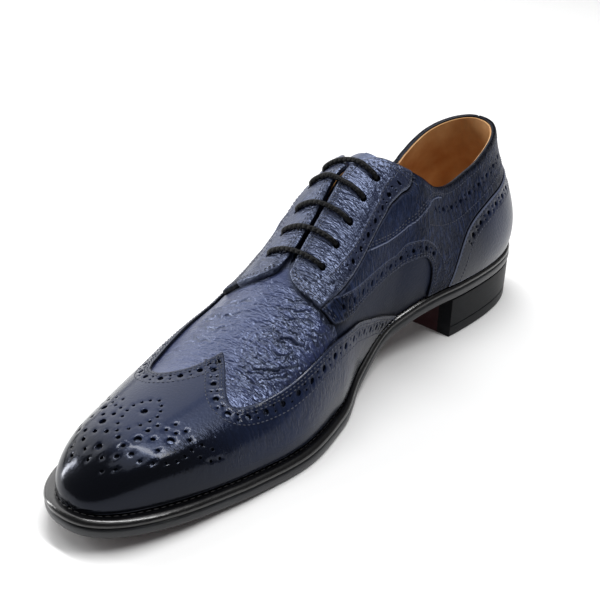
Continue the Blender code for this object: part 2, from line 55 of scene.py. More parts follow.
# the last, in millimetres: the same tables as the solids were lofted from
last = {
    "length": 308.0, "heelHeight": 22.0, "seatEnd": 84.0, "waistEnd": 178.0, "springStart": 214.0,
    "toeSpring": 8.0, "springPower": 1.7, "stack": 8.3, "outsole": 4.7, "gap": 0.3, "wall": 1.8,
    "heelInset": 4.0, "toeInset": 6.0, "heelAxis": 6.0, "heelAxisRun": 80.0, "tipAxis": 3.0, "tipAxisRun": 70.0,
    "heelCentre": 60.0, "fanMix": 40.0,  # sections fan out round the heel and are straight past the mix
    "ridgeStart": 134.0,  # the two walls meet on the ridge from here on
    "heelRound": (60.0, 2.6), "toeRound": (50.0, 2.3), "toeClose": (29.0, 2.4),
}
tip = last["length"] - last["toeInset"]
toeFrom = tip - last["toeClose"][0]
outlineRows = [(0, 38.4, 26.4), (28, 41.0, 29.2), (55, 40.0, 29.8), (75, 38.2, 31.2), (90, 35.2, 33.4),
               (108, 30.2, 37.4), (124, 26.6, 39.8), (150, 30.8, 46.0), (180, 42.0, 52.2), (210, 46.9, 50.0),
               (240, 42.6, 41.7), (265, 36.9, 33.4), (285, 33.6, 29.8), (308, 31.0, 29.0)]
ledgeRows = [(0, 2.4, 2.4), (60, 2.0, 2.0), (110, 2.0, 2.5), (150, 3.4, 4.2), (190, 5.2, 5.2), (250, 5.6, 5.6),
             (308, 5.8, 5.8)]
sectionNames = ("station", "ridge", "topMedial", "topLateral", "openMedial", "openLateral", "bulgeMedial",
                "bulgeLateral", "riseMedial", "riseLateral", "shoulderMedial", "shoulderLateral", "drop")
sectionRows = [
    (0, 6.0, 94.6, 94.6, 46.0, 46.0, 5.5, 5.5, .38, .38, 2.5, 2.5, .34),
    (3, 6.0, 94.5, 94.4, 45.7, 45.7, 5.6, 5.6, .38, .38, 2.5, 2.5, .34),
    (8, 6.0, 94.1, 93.4, 44.0, 44.0, 6.0, 6.0, .38, .38, 2.5, 2.5, .34),
    (16, 6.0, 93.0, 91.0, 38.6, 38.8, 7.2, 6.5, .38, .38, 2.5, 2.5, .34),
    (24, 6.0, 91.6, 88.0, 33.2, 33.2, 8.0, 6.8, .38, .38, 2.5, 2.5, .34),
    (33, 6.0, 89.8, 84.4, 28.4, 27.8, 8.2, 6.5, .38, .38, 2.5, 2.5, .34),
    (45, 6.0, 87.4, 80.6, 24.6, 23.2, 8.0, 6.0, .38, .38, 2.5, 2.5, .34),
    (62, 6.0, 84.6, 77.2, 22.8, 20.6, 7.6, 5.5, .38, .38, 2.5, 2.5, .33),
    (80, 6.0, 82.4, 77.2, 23.0, 20.2, 7.4, 5.0, .40, .38, 2.8, 3.0, .31),
    (95, 6.1, 86.0, 83.4, 23.4, 20.0, 9.0, 4.5, .44, .38, 3.2, 4.2, .26),
    (107, 6.2, 94.0, 91.4, 23.0, 18.4, 11.5, 4.0, .50, .39, 5.5, 7.0, .18),
    (116, 6.2, 100.4, 96.8, 18.0, 13.4, 13.0, 3.5, .56, .40, 10.0, 9.4, .11),
    (124, 6.1, 104.6, 101.0, 9.0, 7.0, 13.0, 3.2, .62, .40, 16.0, 12.5, .04),
    (134, 6.0, 100.0, 100.0, 0, 0, 12.0, 3.0, .68, .39, 23.5, 16.0, 0),
    (155, 5.8, 82.4, 82.4, 0, 0, 8.0, 2.6, .73, .34, 27.0, 18.0, 0),
    (181, 5.6, 62.6, 62.6, 0, 0, 5.0, 2.2, .75, .31, 32.0, 22.5, 0),
    (205, 5.2, 49.0, 49.0, 0, 0, 3.0, 2.0, .71, .43, 31.0, 28.0, 0),
    (228, 4.3, 39.6, 39.6, 0, 0, 2.0, 1.8, .67, .57, 27.0, 27.5, 0),
    (255, 3.7, 36.2, 36.2, 0, 0, 1.4, 1.4, .68, .66, 23.0, 23.5, 0),
    (280, 3.2, 34.0, 34.0, 0, 0, 1.0, 1.0, .70, .70, 18.0, 18.0, 0),
    (302, 3.0, 31.5, 31.5, 0, 0, .6, .6, .70, .70, 13.0, 13.0, 0),
]


def tableCurve(rows, column, at):
    knots = np.array([r[0] for r in rows], float)
    values = np.array([r[column] for r in rows], float)
    span = np.diff(knots)
    slope = np.diff(values) / span
    tangent = np.zeros(len(knots))
    tangent[0], tangent[-1] = slope[0], slope[-1]
    for i in range(1, len(knots) - 1):
        if slope[i - 1] * slope[i] > 0:
            near, far = 2 * span[i] + span[i - 1], span[i] + 2 * span[i - 1]
            tangent[i] = (near + far) / (near / slope[i - 1] + far / slope[i])
    at = np.clip(np.asarray(at, float), knots[0], knots[-1])
    i = np.clip(np.searchsorted(knots, at, side="right") - 1, 0, len(knots) - 2)
    t = (at - knots[i]) / span[i]
    begin = (1 + 2 * t) * (1 - t) ** 2 * values[i] + t * (1 - t) ** 2 * span[i] * tangent[i]
    return begin + t * t * (3 - 2 * t) * values[i + 1] + t * t * (t - 1) * span[i] * tangent[i + 1]


def ease(t):
    t = np.clip(t, 0.0, 1.0)
    return t * t * (3 - 2 * t)


def unit(v):
    return v / np.maximum(np.linalg.norm(v, axis=-1, keepdims=True), 1e-9)


def signOf(x):
    return np.where(x >= 0, 1, -1)


def runOf(points):  # length along a line, up to each of its points
    return np.concatenate([[0], np.cumsum(np.linalg.norm(np.diff(points, axis=0), axis=1))])


def soleHeight(y):
    y = np.asarray(y, float)
    arch = last["heelHeight"] * ease((last["waistEnd"] - y) / (last["waistEnd"] - last["seatEnd"]))
    lift = np.clip((y - last["springStart"]) / (last["length"] - last["springStart"]), 0, None)
    return arch + last["toeSpring"] * lift ** last["springPower"]


def outlineWidth(y, side, ledge=0.0, inset=0.0, start=0.0, end=last["length"]):
    y = np.asarray(y, float)
    column = 1 if side > 0 else 2
    width = tableCurve(outlineRows, column, y) - ledge * tableCurve(ledgeRows, column, y) - inset
    tipRun, backRun = last["tipAxisRun"], last["heelAxisRun"]
    axis = side * (last["tipAxis"] * ease((y - end + tipRun) / tipRun)
                   + last["heelAxis"] * ease((backRun - y) / backRun))
    heelRun, heelPower = last["heelRound"]
    toeRun, toePower = last["toeRound"]
    back = np.clip((start + heelRun - y) / heelRun, 0, 1)
    front = np.clip((y - end + toeRun) / toeRun, 0, 1)
    close = (1 - back ** heelPower) ** (1 / heelPower) * (1 - front ** toePower) ** (1 / toePower)
    return axis + (width - axis) * close


def featherPoint(q, side):
    centre, axis = last["heelCentre"], last["heelAxis"]
    out = np.stack([np.full(len(q), float(side)), np.zeros(len(q))], 1)
    foot = np.stack([side * outlineWidth(q, side, 1.0, 0.0, last["heelInset"], tip), q], 1)
    fan = q < centre
    angle = (1 - q[fan] / centre) * math.pi / 2
    ray = np.stack([side * np.cos(angle), -np.sin(angle)], 1)
    low, high = np.zeros(fan.sum()), np.full(fan.sum(), centre)
    for _ in range(34):
        middle = (low + high) / 2
        y = centre + ray[:, 1] * middle
        width = outlineWidth(y, side, 1.0, 0.0, last["heelInset"], tip)
        inside = (y > last["heelInset"]) & (width >= axis * side + np.abs(ray[:, 0]) * middle)
        low, high = np.where(inside, middle, low), np.where(inside, high, middle)
    foot[fan] = np.array([axis, centre]) + ray * low[:, None]
    out[fan] = ray
    return foot, out


def wallCorners(q, side):
    q = np.asarray(q, float)
    foot, out = featherPoint(q, side)
    base = soleHeight(foot[:, 1]) + last["stack"]
    row = {n: tableCurve(sectionRows, i, q) for i, n in enumerate(sectionNames) if i}
    name = "Medial" if side > 0 else "Lateral"
    run, power = last["toeClose"]
    close = np.sqrt(np.clip(1 - np.clip((q - tip + run) / run, 0, 1) ** power, 0, 1))
    mix = ease((q - last["heelCentre"]) / last["fanMix"])
    axis = np.stack([row["ridge"] * mix + last["heelAxis"] * (1 - mix), np.maximum(q, last["heelCentre"])], 1)
    crown = axis + out * row["open" + name][:, None]
    top = base + (row["top" + name] - base) * close
    low = foot + out * (row["bulge" + name] * close)[:, None]
    high = crown + out * (row["shoulder" + name] * close)[:, None]
    return [np.column_stack([foot, base]), np.column_stack([low, base + row["rise" + name] * (top - base)]),
            np.column_stack([high, top - row["drop"] * (top - base)]), np.column_stack([crown, top])]


def toeStations(count, first=0.0, end=tip):  # closer together towards the tip
    return toeFrom + (end - toeFrom) * np.sin(np.linspace(first, 1, count) * math.pi / 2)


# the outer face of the upper, sampled finely once: [side][station][share of the wall]
gridQ = np.concatenate([np.arange(0, toeFrom, 0.75), toeStations(220)])
gridV = np.linspace(0, 1, 161)
gridP = np.zeros((2, len(gridQ), len(gridV), 3))
gridN = np.zeros_like(gridP)
for s, side in enumerate((1, -1)):
    a, b, c, d = [k[:, None, :] for k in wallCorners(gridQ, side)]
    v = gridV[None, :, None]
    gridP[s] = (1 - v) ** 3 * a + 3 * (1 - v) ** 2 * v * b + 3 * (1 - v) * v * v * c + v ** 3 * d
    n = np.cross(np.gradient(gridP[s], axis=0), np.gradient(gridP[s], axis=1)) * side
    gridN[s] = unit(n)
gridN[:, -1] = (0, 1, 0)
gridN[:, 0, :, 0] = 0
ridgeFrom = int(np.searchsorted(gridQ, last["ridgeStart"] + 0.2))
gridN[:, ridgeFrom:, -1] = gridN[:, ridgeFrom:, -1].mean(0)
gridN = unit(gridN)
gridArc = np.concatenate([np.zeros((2, len(gridQ), 1)),
                          np.cumsum(np.linalg.norm(np.diff(gridP, axis=2), axis=3), axis=2)], axis=2)
ridgeStep = np.linalg.norm(np.diff(gridP[0, :, -1], axis=0), axis=1)
ridgeStep[:ridgeFrom] = np.diff(gridQ)[:ridgeFrom]
ridgeArc = np.concatenate([[0], np.cumsum(ridgeStep)])
reach = [outlineWidth(np.arange(150, 250, 0.5), side).max() for side in (1, -1)]
shift = (cadLow.x + cadHigh.x) * 500 + (reach[1] - reach[0]) / 2  # to the middle of the CAD box
chartTall = 80.0  # units of a chart from the welt to the top


def skinAt(q, v, side, height=0.0):
    q, v, side = np.broadcast_arrays(np.asarray(q, float), np.asarray(v, float), np.asarray(side))
    s = np.where(side > 0, 0, 1)
    fi = np.interp(q, gridQ, np.arange(len(gridQ)))
    fj = np.clip(v, 0, 1) * (len(gridV) - 1)
    i, j = np.minimum(fi.astype(int), len(gridQ) - 2), np.minimum(fj.astype(int), len(gridV) - 2)
    t, u = (fi - i)[..., None], (fj - j)[..., None]

    def mixed(g):
        here = g[s, i, j] * (1 - u) + g[s, i, j + 1] * u
        ahead = g[s, i + 1, j] * (1 - u) + g[s, i + 1, j + 1] * u
        return here * (1 - t) + ahead * t
    return mixed(gridP) + unit(mixed(gridN)) * np.asarray(height, float)[..., None]


def toWorld(p):
    p = np.asarray(p, float)
    return np.stack([(p[..., 0] + shift), (last["length"] / 2 - p[..., 1]), p[..., 2]], -1) * 0.001


def stationRow(q):  # nearest row of the grid
    return np.interp(q, gridQ, np.arange(len(gridQ))).round().astype(int)


def shareUp(q, side, up):  # share of the wall at a length up from the welt, or down from the top if negative
    q, up = np.broadcast_arrays(np.atleast_1d(np.asarray(q, float)), np.asarray(up, float))
    out = np.zeros(len(q))
    for k, (i, want) in enumerate(zip(stationRow(q), up)):
        arc = gridArc[0 if side > 0 else 1, i]
        out[k] = np.interp(want if want >= 0 else arc[-1] + want, arc, gridV)
    return out


# charts: flat maps of the last. front: along the ridge, across it. wrap: round the heel, up the wall
def fromChart(chart, xy):
    x, y = xy[..., 0], xy[..., 1]
    if chart == "front":
        return np.interp(x, ridgeArc, gridQ), 1 - np.abs(y) / chartTall, signOf(y)
    return np.abs(x), np.clip(y / chartTall, 0, 1), signOf(x)


def toChart(chart, q, v, side):
    q, v, side = np.broadcast_arrays(np.asarray(q, float), np.asarray(v, float), np.asarray(side))
    if chart == "front":
        return np.stack([np.interp(q, gridQ, ridgeArc), side * (1 - v) * chartTall], -1)
    return np.stack([side * q, v * chartTall], -1)


def chartPoint(chart, xy, height=0.0):
    return skinAt(*fromChart(chart, np.asarray(xy, float)), height)


def chartScale(chart, xy):  # millimetres on the shoe for one unit of x and of y
    step = 0.35
    xy = np.asarray(xy, float)
    ex, ey = np.array([step, 0]), np.array([0, step])
    sx = np.linalg.norm(chartPoint(chart, xy + ex) - chartPoint(chart, xy - ex), axis=-1) / (2 * step)
    sy = np.linalg.norm(chartPoint(chart, xy + ey) - chartPoint(chart, xy - ey), axis=-1) / (2 * step)
    return np.stack([np.maximum(sx, 0.25), np.maximum(sy, 0.25)], -1)


def spaced(chart, xy, step, closed=False):  # the same line with even spacing on the shoe
    xy = np.asarray(xy, float)
    if closed:
        xy = np.vstack([xy, xy[:1]])
    run = runOf(chartPoint(chart, xy))
    count = max(int(round(run[-1] / step)), 2)
    at = np.linspace(0, run[-1], count + 1)
    out = np.stack([np.interp(at, run, xy[:, 0]), np.interp(at, run, xy[:, 1])], 1)
    return out[:-1] if closed else out


def beside(chart, xy, away, closed=False):  # a line at a distance in mm to the left of another
    xy = np.asarray(xy, float)
    scale = chartScale(chart, xy)
    mm = (np.roll(xy, -1, 0) - np.roll(xy, 1, 0)) if closed else np.gradient(xy, axis=0)
    mm = unit(mm * scale)
    return xy + np.stack([-mm[:, 1], mm[:, 0]], 1) * away / scale


def parallel(chart, line, away):
    return beside(chart, spaced(chart, line, 1.0), away)


def insideLoop(points, loop):
    x, y = points[:, 0], points[:, 1]
    hit = np.zeros(len(points), bool)
    for (x0, y0), (x1, y1) in zip(loop, np.roll(loop, -1, 0)):
        if y0 != y1:
            hit ^= ((y0 > y) != (y1 > y)) & (x < (x1 - x0) * (y - y0) / (y1 - y0) + x0)
    return hit


def turnedLeft(loop):  # counter-clockwise, so that the leather lies to the left
    area = (loop[:, 0] * np.roll(loop[:, 1], -1) - np.roll(loop[:, 0], -1) * loop[:, 1]).sum()
    return loop if area > 0 else loop[::-1]


def placed(name, data):
    made = bpy.data.objects.new(name, data)
    bpy.context.scene.collection.objects.link(made)
    return made


def aimed(thing, at, aim):
    thing.location = at
    thing.rotation_mode = "QUATERNION"
    thing.rotation_quaternion = (Vector(aim) - Vector(at)).to_track_quat("-Z", "Y")
    return thing


def addObject(name, verts, faces, materials, attributes=None):
    mesh = bpy.data.meshes.new(name)
    mesh.from_pydata([tuple(p) for p in verts], [], [tuple(f) for f in faces])
    for finish in materials:
        mesh.materials.append(finish)
    for key, values in (attributes or {}).items():
        mesh.attributes.new(key, "FLOAT", "POINT").data.foreach_set("value", np.asarray(values, np.float32))
    mesh.shade_smooth()
    mesh.set_sharp_from_angle(angle=math.radians(52))  # cut edges stay crisp
    mesh.validate()
    return placed(name, mesh)


def turnOutward(piece, slotOf=None):
    bm = bmesh.new()
    bm.from_mesh(piece.data)
    bmesh.ops.recalc_face_normals(bm, faces=bm.faces)
    if slotOf:
        for f in bm.faces:
            f.material_index = slotOf(f)
    bm.to_mesh(piece.data)
    bm.free()
    return piece


def treeOf(points):
    made = kdtree.KDTree(len(points))
    for k, p in enumerate(points):
        made.insert(p, k)
    made.balance()
    return made


def punchedPanel(name, chart, outline, holes, sizes, finish, relief=None, burnishAndShade=None, wear=None, beads=()):
    # a leather panel on the last: rounded edge, real holes, top and underside
    loop = turnedLeft(spaced(chart, outline, sizes["edgeStep"], True))
    lips = [beside(chart, loop, sizes["lip"] * k, True) for k in (1, 2)]
    loops, rings, dropped = [loop], lips, [np.full(len(loop), sizes["edgeDrop"])]
    centres = []
    loopSpot = chartPoint(chart, loop)
    for x, y, r in holes:
        toEdge = np.linalg.norm(loopSpot - chartPoint(chart, np.array([[x, y]])), axis=1).min()
        if toEdge < r + sizes["holeLip"]:
            continue  # no room before the edge
        count = 16 if r > 1.1 else (11 if r > 0.8 else 8)  # smaller holes have fewer sides
        turn = np.linspace(0, 2 * math.pi, count, endpoint=False)
        scale = chartScale(chart, np.array([[x, y]]))[0]
        ring = np.stack([np.cos(turn), np.sin(turn)], 1)
        loops.append(np.array([x, y]) + ring * r / scale)
        rings.append(np.array([x, y]) + ring * (r + sizes["holeLip"]) / scale)
        dropped.append(np.full(count, sizes["holeDrop"]))
        centres.append((x, y, r))
    sewn, raisedMark = [], []
    for bead, strength in beads:
        middle = spaced(chart, bead, sizes["beadStep"])
        for away, mark in ((-sizes["beadHalf"], 0.0), (0.0, strength), (sizes["beadHalf"], 0.0)):
            sewn.append(beside(chart, middle, away))
            raisedMark.append(np.full(len(middle), mark))
    fixed = np.vstack(loops + rings + sewn)
    near = treeOf(chartPoint(chart, fixed))
    step = sizes["grid"]
    low, high = loop.min(0), loop.max(0)
    gx, gy = np.meshgrid(np.arange(low[0], high[0], step), np.arange(low[1], high[1], step))
    gx = gx + (np.arange(gx.shape[0]) % 2)[:, None] * step / 2
    field = np.stack([gx.ravel(), gy.ravel()], 1)
    field = field[insideLoop(field, loop)]
    spot = chartPoint(chart, field)
    clear = np.array([near.find(p)[2] > sizes["clear"] * step for p in spot], bool)
    holeSpot = chartPoint(chart, np.array([c[:2] for c in centres])) if centres else np.zeros((0, 3))
    for c, p in zip(centres, holeSpot):
        clear &= np.linalg.norm(spot - p, axis=1) > c[2] + sizes["holeLip"]
    field = field[clear]
    flat = np.vstack([fixed, field])
    edges, begin = [], 0
    for ring in loops:
        edges += [(begin + k, begin + (k + 1) % len(ring)) for k in range(len(ring))]
        begin += len(ring)
    found = delaunay_2d_cdt([Vector(p) for p in flat], edges, [], 0, 1e-5)
    xy = np.array([tuple(p) for p in found[0]])
    tris = np.array(found[2])
    source = [ids[0] if ids else -1 for ids in found[3]]
    # painted highlight: a pale line along the cut edge and on the raised beads, as if they caught the light
    drop, glint = np.zeros(len(flat) + 1), np.zeros(len(flat) + 1)
    drop[:begin] = np.concatenate(dropped)
    glint[begin:begin + len(loop)] = sizes["edgeGlint"]
    if sewn:
        sewnAt = slice(len(fixed) - sum(len(s) for s in sewn), len(fixed))
        glint[sewnAt] = np.concatenate(raisedMark) * sizes["beadGlint"]
        drop[sewnAt] = np.concatenate(raisedMark) * -sizes["beadHigh"]
    drop, glint = drop[source], glint[source]
    glint[fromChart(chart, xy)[1] > sizes["glintBelow"]] = 0.0
    cut = np.array([0 <= k < len(loop) for k in source])
    middle = xy[tris].mean(1)
    keep = insideLoop(middle, loop)
    middleSpot = chartPoint(chart, middle)
    for c, p, ring in zip(centres, holeSpot, loops[1:]):
        close = np.linalg.norm(middleSpot - p, axis=1) < c[2] * 1.3  # only these can lie in the hole
        keep[close] &= ~insideLoop(middle[close], ring)
    tris = tris[keep]
    q, v, side = fromChart(chart, xy)
    raised = relief(q, v, side) if relief else 0.0
    top = toWorld(skinAt(q, v, side, sizes["high"] - drop + raised))
    under = toWorld(skinAt(q, v, side, np.full(len(q), sizes["low"])))
    outward = toWorld(skinAt(q, v, side, 5.0)) - toWorld(skinAt(q, v, side, 0.0))
    facing = np.cross(top[tris[:, 1]] - top[tris[:, 0]], top[tris[:, 2]] - top[tris[:, 0]])
    if (facing * outward[tris[:, 0]]).sum() < 0:
        tris = tris[:, ::-1]
    n = len(xy)
    faces = [tuple(t) for t in tris] + [tuple(t[::-1] + n) for t in tris]
    border = {}
    for t in tris:
        for a, b in ((t[0], t[1]), (t[1], t[2]), (t[2], t[0])):
            if (b, a) in border:
                del border[(b, a)]
            else:
                border[(a, b)] = True
    faces += [(b, a, a + n, b + n) for a, b in border]
    edgeTree = treeOf(loopSpot)
    distance = np.array([edgeTree.find(p)[2] for p in chartPoint(chart, xy)])
    dark = burnishAndShade(q, v, side) if burnishAndShade else np.zeros(n)
    dark = 1 - (1 - dark) * (1 - sizes["edgeDark"] * np.exp(-distance / sizes["edgeFade"]))
    # the cut edge is inked nearly black, and the underside is painted black: painted shade down the edge walls and
    # inside the holes
    dark[cut] = sizes["cutDark"]
    worn = wear(q, v, side) if wear else np.zeros(n)
    return addObject(name, np.vstack([top, under]), faces, [finish],
                     {"burnishAndShade": np.concatenate([dark, np.ones(n)]), "glint": np.concatenate([glint, np.zeros(n)]),
                      "wear": np.concatenate([worn, np.zeros(n)])})


def addNode(tree, kind, settings=None, links=None):
    made = tree.nodes.new(kind)
    for key, value in (settings or {}).items():
        if key == "stops":  # the two ends of a colour ramp
            for end, (position, colour) in zip(made.color_ramp.elements, value):
                end.position, end.color = position, colour
        elif isinstance(key, int) or key in made.inputs:
            made.inputs[key].default_value = value
        else:
            setattr(made, key, value)
    for key, source in (links or {}).items():
        tree.links.new(source, made.inputs[key])
    return made


def srgb(text):
    parts = [int(text[k:k + 2], 16) / 255 for k in (1, 3, 5)]
    return (*[p / 12.92 if p <= 0.04045 else ((p + 0.055) / 1.055) ** 2.4 for p in parts], 1.0)


def newMaterial(name):
    made = bpy.data.materials.new(name)
    made.use_nodes = True
    tree = made.node_tree
    shader = tree.nodes["Principled BSDF"]
    place = addNode(tree, "ShaderNodeTexCoord").outputs["Object"]
    return made, tree, shader, place


def leatherMaterial(name, look):
    # dyed calf: pebbled or smooth grain with painted shade in its pits, creased where worn with painted shade in
    # the fold valleys, and a pale painted highlight along cut edges and beads
    made, tree, shader, place = newMaterial(name)
    darkBurnishAndShade, glint, wear = [addNode(tree, "ShaderNodeAttribute", {"attribute_name": key}).outputs["Fac"]
                        for key in ("burnishAndShade", "glint", "wear")]
    cloud = addNode(tree, "ShaderNodeTexNoise", {"Scale": 1000 / look["cloudMm"], "Detail": 4.0}, {"Vector": place})
    warp = addNode(tree, "ShaderNodeTexNoise", {"Scale": 1000 / (look["grainMm"] * 2.4), "Detail": 2.0},
                   {"Vector": place})
    bent = addNode(tree, "ShaderNodeMixRGB", {"blend_type": "LINEAR_LIGHT", "Fac": look["warp"]},
                   {"Color1": place, "Color2": warp.outputs["Color"]})
    cells = addNode(tree, "ShaderNodeTexVoronoi", {"Scale": 1000 / look["grainMm"], "feature": "SMOOTH_F1",
                    "Smoothness": 0.3}, {"Vector": bent.outputs[0]})
    fine = addNode(tree, "ShaderNodeTexNoise", {"Scale": 1000 / look["poreMm"], "Detail": 3.0}, {"Vector": place})
    stretch = addNode(tree, "ShaderNodeMapping", {"Scale": look["stretch"]}, {"Vector": place})
    sway = addNode(tree, "ShaderNodeTexNoise", {"Scale": 1000 / (look["foldMm"] * 1.8), "Detail": 3.0},
                   {"Vector": stretch.outputs[0]})
    swayed = addNode(tree, "ShaderNodeMixRGB", {"blend_type": "LINEAR_LIGHT", "Fac": look["sway"]},
                     {"Color1": stretch.outputs[0], "Color2": sway.outputs["Color"]})
    valleys = []  # sharp valleys between soft pillows, coarse and then fine
    for sizeMm, detail in ((look["foldMm"], 2.0), (look["foldMm"] * look["fineShare"], 1.0)):
        folds = addNode(tree, "ShaderNodeTexNoise", {"Scale": 1000 / sizeMm, "Detail": detail, "Distortion": 0.3},
                        {"Vector": swayed.outputs[0]})
        middle = addNode(tree, "ShaderNodeMath", {"operation": "SUBTRACT", 1: 0.5}, {0: folds.outputs["Fac"]})
        nearMiddle = addNode(tree, "ShaderNodeMath", {"operation": "ABSOLUTE"}, {0: middle.outputs[0]})
        crest = addNode(tree, "ShaderNodeMapRange", {"From Max": look["foldWide"], "To Min": 1.0, "To Max": 0.0},
                        {"Value": nearMiddle.outputs[0]})
        valley = addNode(tree, "ShaderNodeMath", {"operation": "MULTIPLY"}, {0: crest.outputs[0], 1: wear})
        valleys.append(valley.outputs[0])
    line = addNode(tree, "ShaderNodeMath", {"operation": "POWER", 1: look["foldThin"]}, {0: valleys[0]})
    tint = addNode(tree, "ShaderNodeMix", {"data_type": "RGBA", 6: srgb(look["deep"]), 7: srgb(look["pale"])},
                   {0: cloud.outputs["Fac"]})
    # painted shade: the colour is darkened in the grain's pits
    pitShade = addNode(tree, "ShaderNodeValToRGB", {"stops": [(0.2, (1, 1, 1, 1)), (0.8, (look["pitShade"],) * 3 + (1,))]},
                  {"Fac": cells.outputs["Distance"]})
    shaded = addNode(tree, "ShaderNodeMix", {"blend_type": "MULTIPLY", "data_type": "RGBA", 0: 1.0},
                     {6: tint.outputs[2], 7: pitShade.outputs["Color"]})
    # painted shade: the fold valleys are darkened in the colour
    shadow = addNode(tree, "ShaderNodeMath", {"operation": "MULTIPLY", 1: look["foldDark"]}, {0: line.outputs[0]})
    colour = shaded
    # the near-black tint goes on as painted shade in the folds, then as burnish and painted shade from the mesh;
    # the pale tint is a painted highlight
    for share, over in ((shadow.outputs[0], "darkBurnishAndShade"), (darkBurnishAndShade, "darkBurnishAndShade"), (glint, "glintTint")):
        colour = addNode(tree, "ShaderNodeMix", {"data_type": "RGBA", 7: srgb(look[over])},
                         {0: share, 6: colour.outputs[2]})
    tree.links.new(colour.outputs[2], shader.inputs["Base Color"])
    gloss = addNode(tree, "ShaderNodeMapRange", {"To Min": look["rough"], "To Max": look["glossRough"]},
                    {"Value": darkBurnishAndShade})
    patchy = addNode(tree, "ShaderNodeMath", {"operation": "MULTIPLY_ADD", 1: look["roughVary"]},
                     {0: cloud.outputs["Fac"], 2: gloss.outputs[0]})
    tree.links.new(patchy.outputs[0], shader.inputs["Roughness"])
    calm = addNode(tree, "ShaderNodeMapRange", {"To Min": 1.0, "To Max": 1.0 - look["calm"]}, {"Value": darkBurnishAndShade})
    height = addNode(tree, "ShaderNodeMath", {"operation": "MULTIPLY", 1: -look["grainDeep"]},
                     {0: cells.outputs["Distance"]})
    layers = ((valleys[0], -look["foldDeep"]), (valleys[1], -look["foldDeep"] * look["fineShare"]),
              (fine.outputs["Fac"], look["poreDeep"]))
    for layer, tall in layers:
        height = addNode(tree, "ShaderNodeMath", {"operation": "MULTIPLY_ADD", 1: tall},
                         {0: layer, 2: height.outputs[0]})
    bump = addNode(tree, "ShaderNodeBump", {"Distance": 0.001},
                   {"Height": height.outputs[0], "Strength": calm.outputs[0]})
    tree.links.new(bump.outputs[0], shader.inputs["Normal"])
    for socket, value in (("IOR", look["ior"]), ("Specular IOR Level", look["specular"]),
                          ("Specular Tint", srgb(look["shine"])), ("Coat Weight", look["coat"]),
                          ("Coat Roughness", look["coatRough"])):
        shader.inputs[socket].default_value = value
    return made


# sizes and depths in millimetres, warp and sway in metres, colours, and shares as on the shader
# in the looks below, the pit and fold darkening is painted shade, the near-black tint serves both burnish and
# painted shade, and the pale edge tint is a painted highlight
shrunkenLook = {
    "cloudMm": 22, "grainMm": 1.1, "warp": 0.001, "poreMm": 0.5, "grainDeep": 0.1, "poreDeep": 0.05, "pitShade": 0.75,
    "foldMm": 3.3, "fineShare": 0.45, "foldWide": 0.16, "foldThin": 2.5, "foldDeep": 0.42, "foldDark": 0.8,
    "sway": 0.0012, "stretch": (0.34, 1.25, 0.42),
    "deep": "#0e1328", "pale": "#191f3a", "darkBurnishAndShade": "#05060b", "glintTint": "#8b93ad", "shine": "#c4d4ff",
    "rough": 0.3, "glossRough": 0.3, "roughVary": 0.08, "calm": 0.35,
    "specular": 0.8, "ior": 1.7, "coat": 0.0, "coatRough": 0.28,
}
vampLook = dict(shrunkenLook, foldMm=3.4, foldDeep=0.46, rough=0.28, deep="#171e3c", pale="#272f57")
quarterLook = dict(shrunkenLook, foldMm=2.8, foldDeep=0.5, foldDark=1.0, foldThin=1.0, foldWide=0.2,
                   deep="#222b47", pale="#343f5c", specular=0.06, ior=1.5)
waistLook = dict(quarterLook, foldMm=5.0, foldWide=0.16, foldDeep=0.1, foldDark=0.3,
                 deep="#101627", pale="#1b2338", rough=0.46, specular=0.18)
capLook = dict(shrunkenLook, grainDeep=0.05, poreDeep=0.02, pitShade=0.9, foldMm=3.6, foldDeep=0.2, foldDark=0.5,
               deep="#141b30", pale="#202a46", darkBurnishAndShade="#06070b", rough=0.28, glossRough=0.15, roughVary=0.06,
               calm=0.5, specular=0.2, ior=1.5, coat=0.18, coatRough=0.1)
counterLook = dict(capLook, grainMm=1.4, grainDeep=0.1, darkBurnishAndShade="#06070d", glossRough=0.22,
                   specular=0.18, coat=0.12, coatRough=0.15)
shrunkenCalf = leatherMaterial("shrunkenGrainCalf", shrunkenLook)
vampCalf = leatherMaterial("creasedGrainCalf", vampLook)
quarterCalf = leatherMaterial("drawnGrainCalf", quarterLook)
waistCalf = leatherMaterial("smoothWaistCalf", waistLook)
capCalf = leatherMaterial("burnishedSmoothCalf", capLook)
counterCalf = leatherMaterial("polishedSmoothCalf", counterLook)


def liningMaterial():
    # vegetable-tanned lining: warm tan, matt, faint pores
    made, tree, shader, place = newMaterial("tanLiningCalf")
    cloud = addNode(tree, "ShaderNodeTexNoise", {"Scale": 70.0, "Detail": 5.0}, {"Vector": place})  # 14 mm
    tint = addNode(tree, "ShaderNodeValToRGB", {"stops": [(0.3, srgb("#b07d4a")), (0.7, srgb("#d0a674"))]},
                   {"Fac": cloud.outputs["Fac"]})
    tree.links.new(tint.outputs["Color"], shader.inputs["Base Color"])
    fine = addNode(tree, "ShaderNodeTexNoise", {"Scale": 1600.0, "Detail": 2.0}, {"Vector": place})  # 0.6 mm
    bump = addNode(tree, "ShaderNodeBump", {"Strength": 0.3, "Distance": 0.0003}, {"Height": fine.outputs["Fac"]})
    tree.links.new(bump.outputs[0], shader.inputs["Normal"])
    shader.inputs["Roughness"].default_value = 0.55
    return made


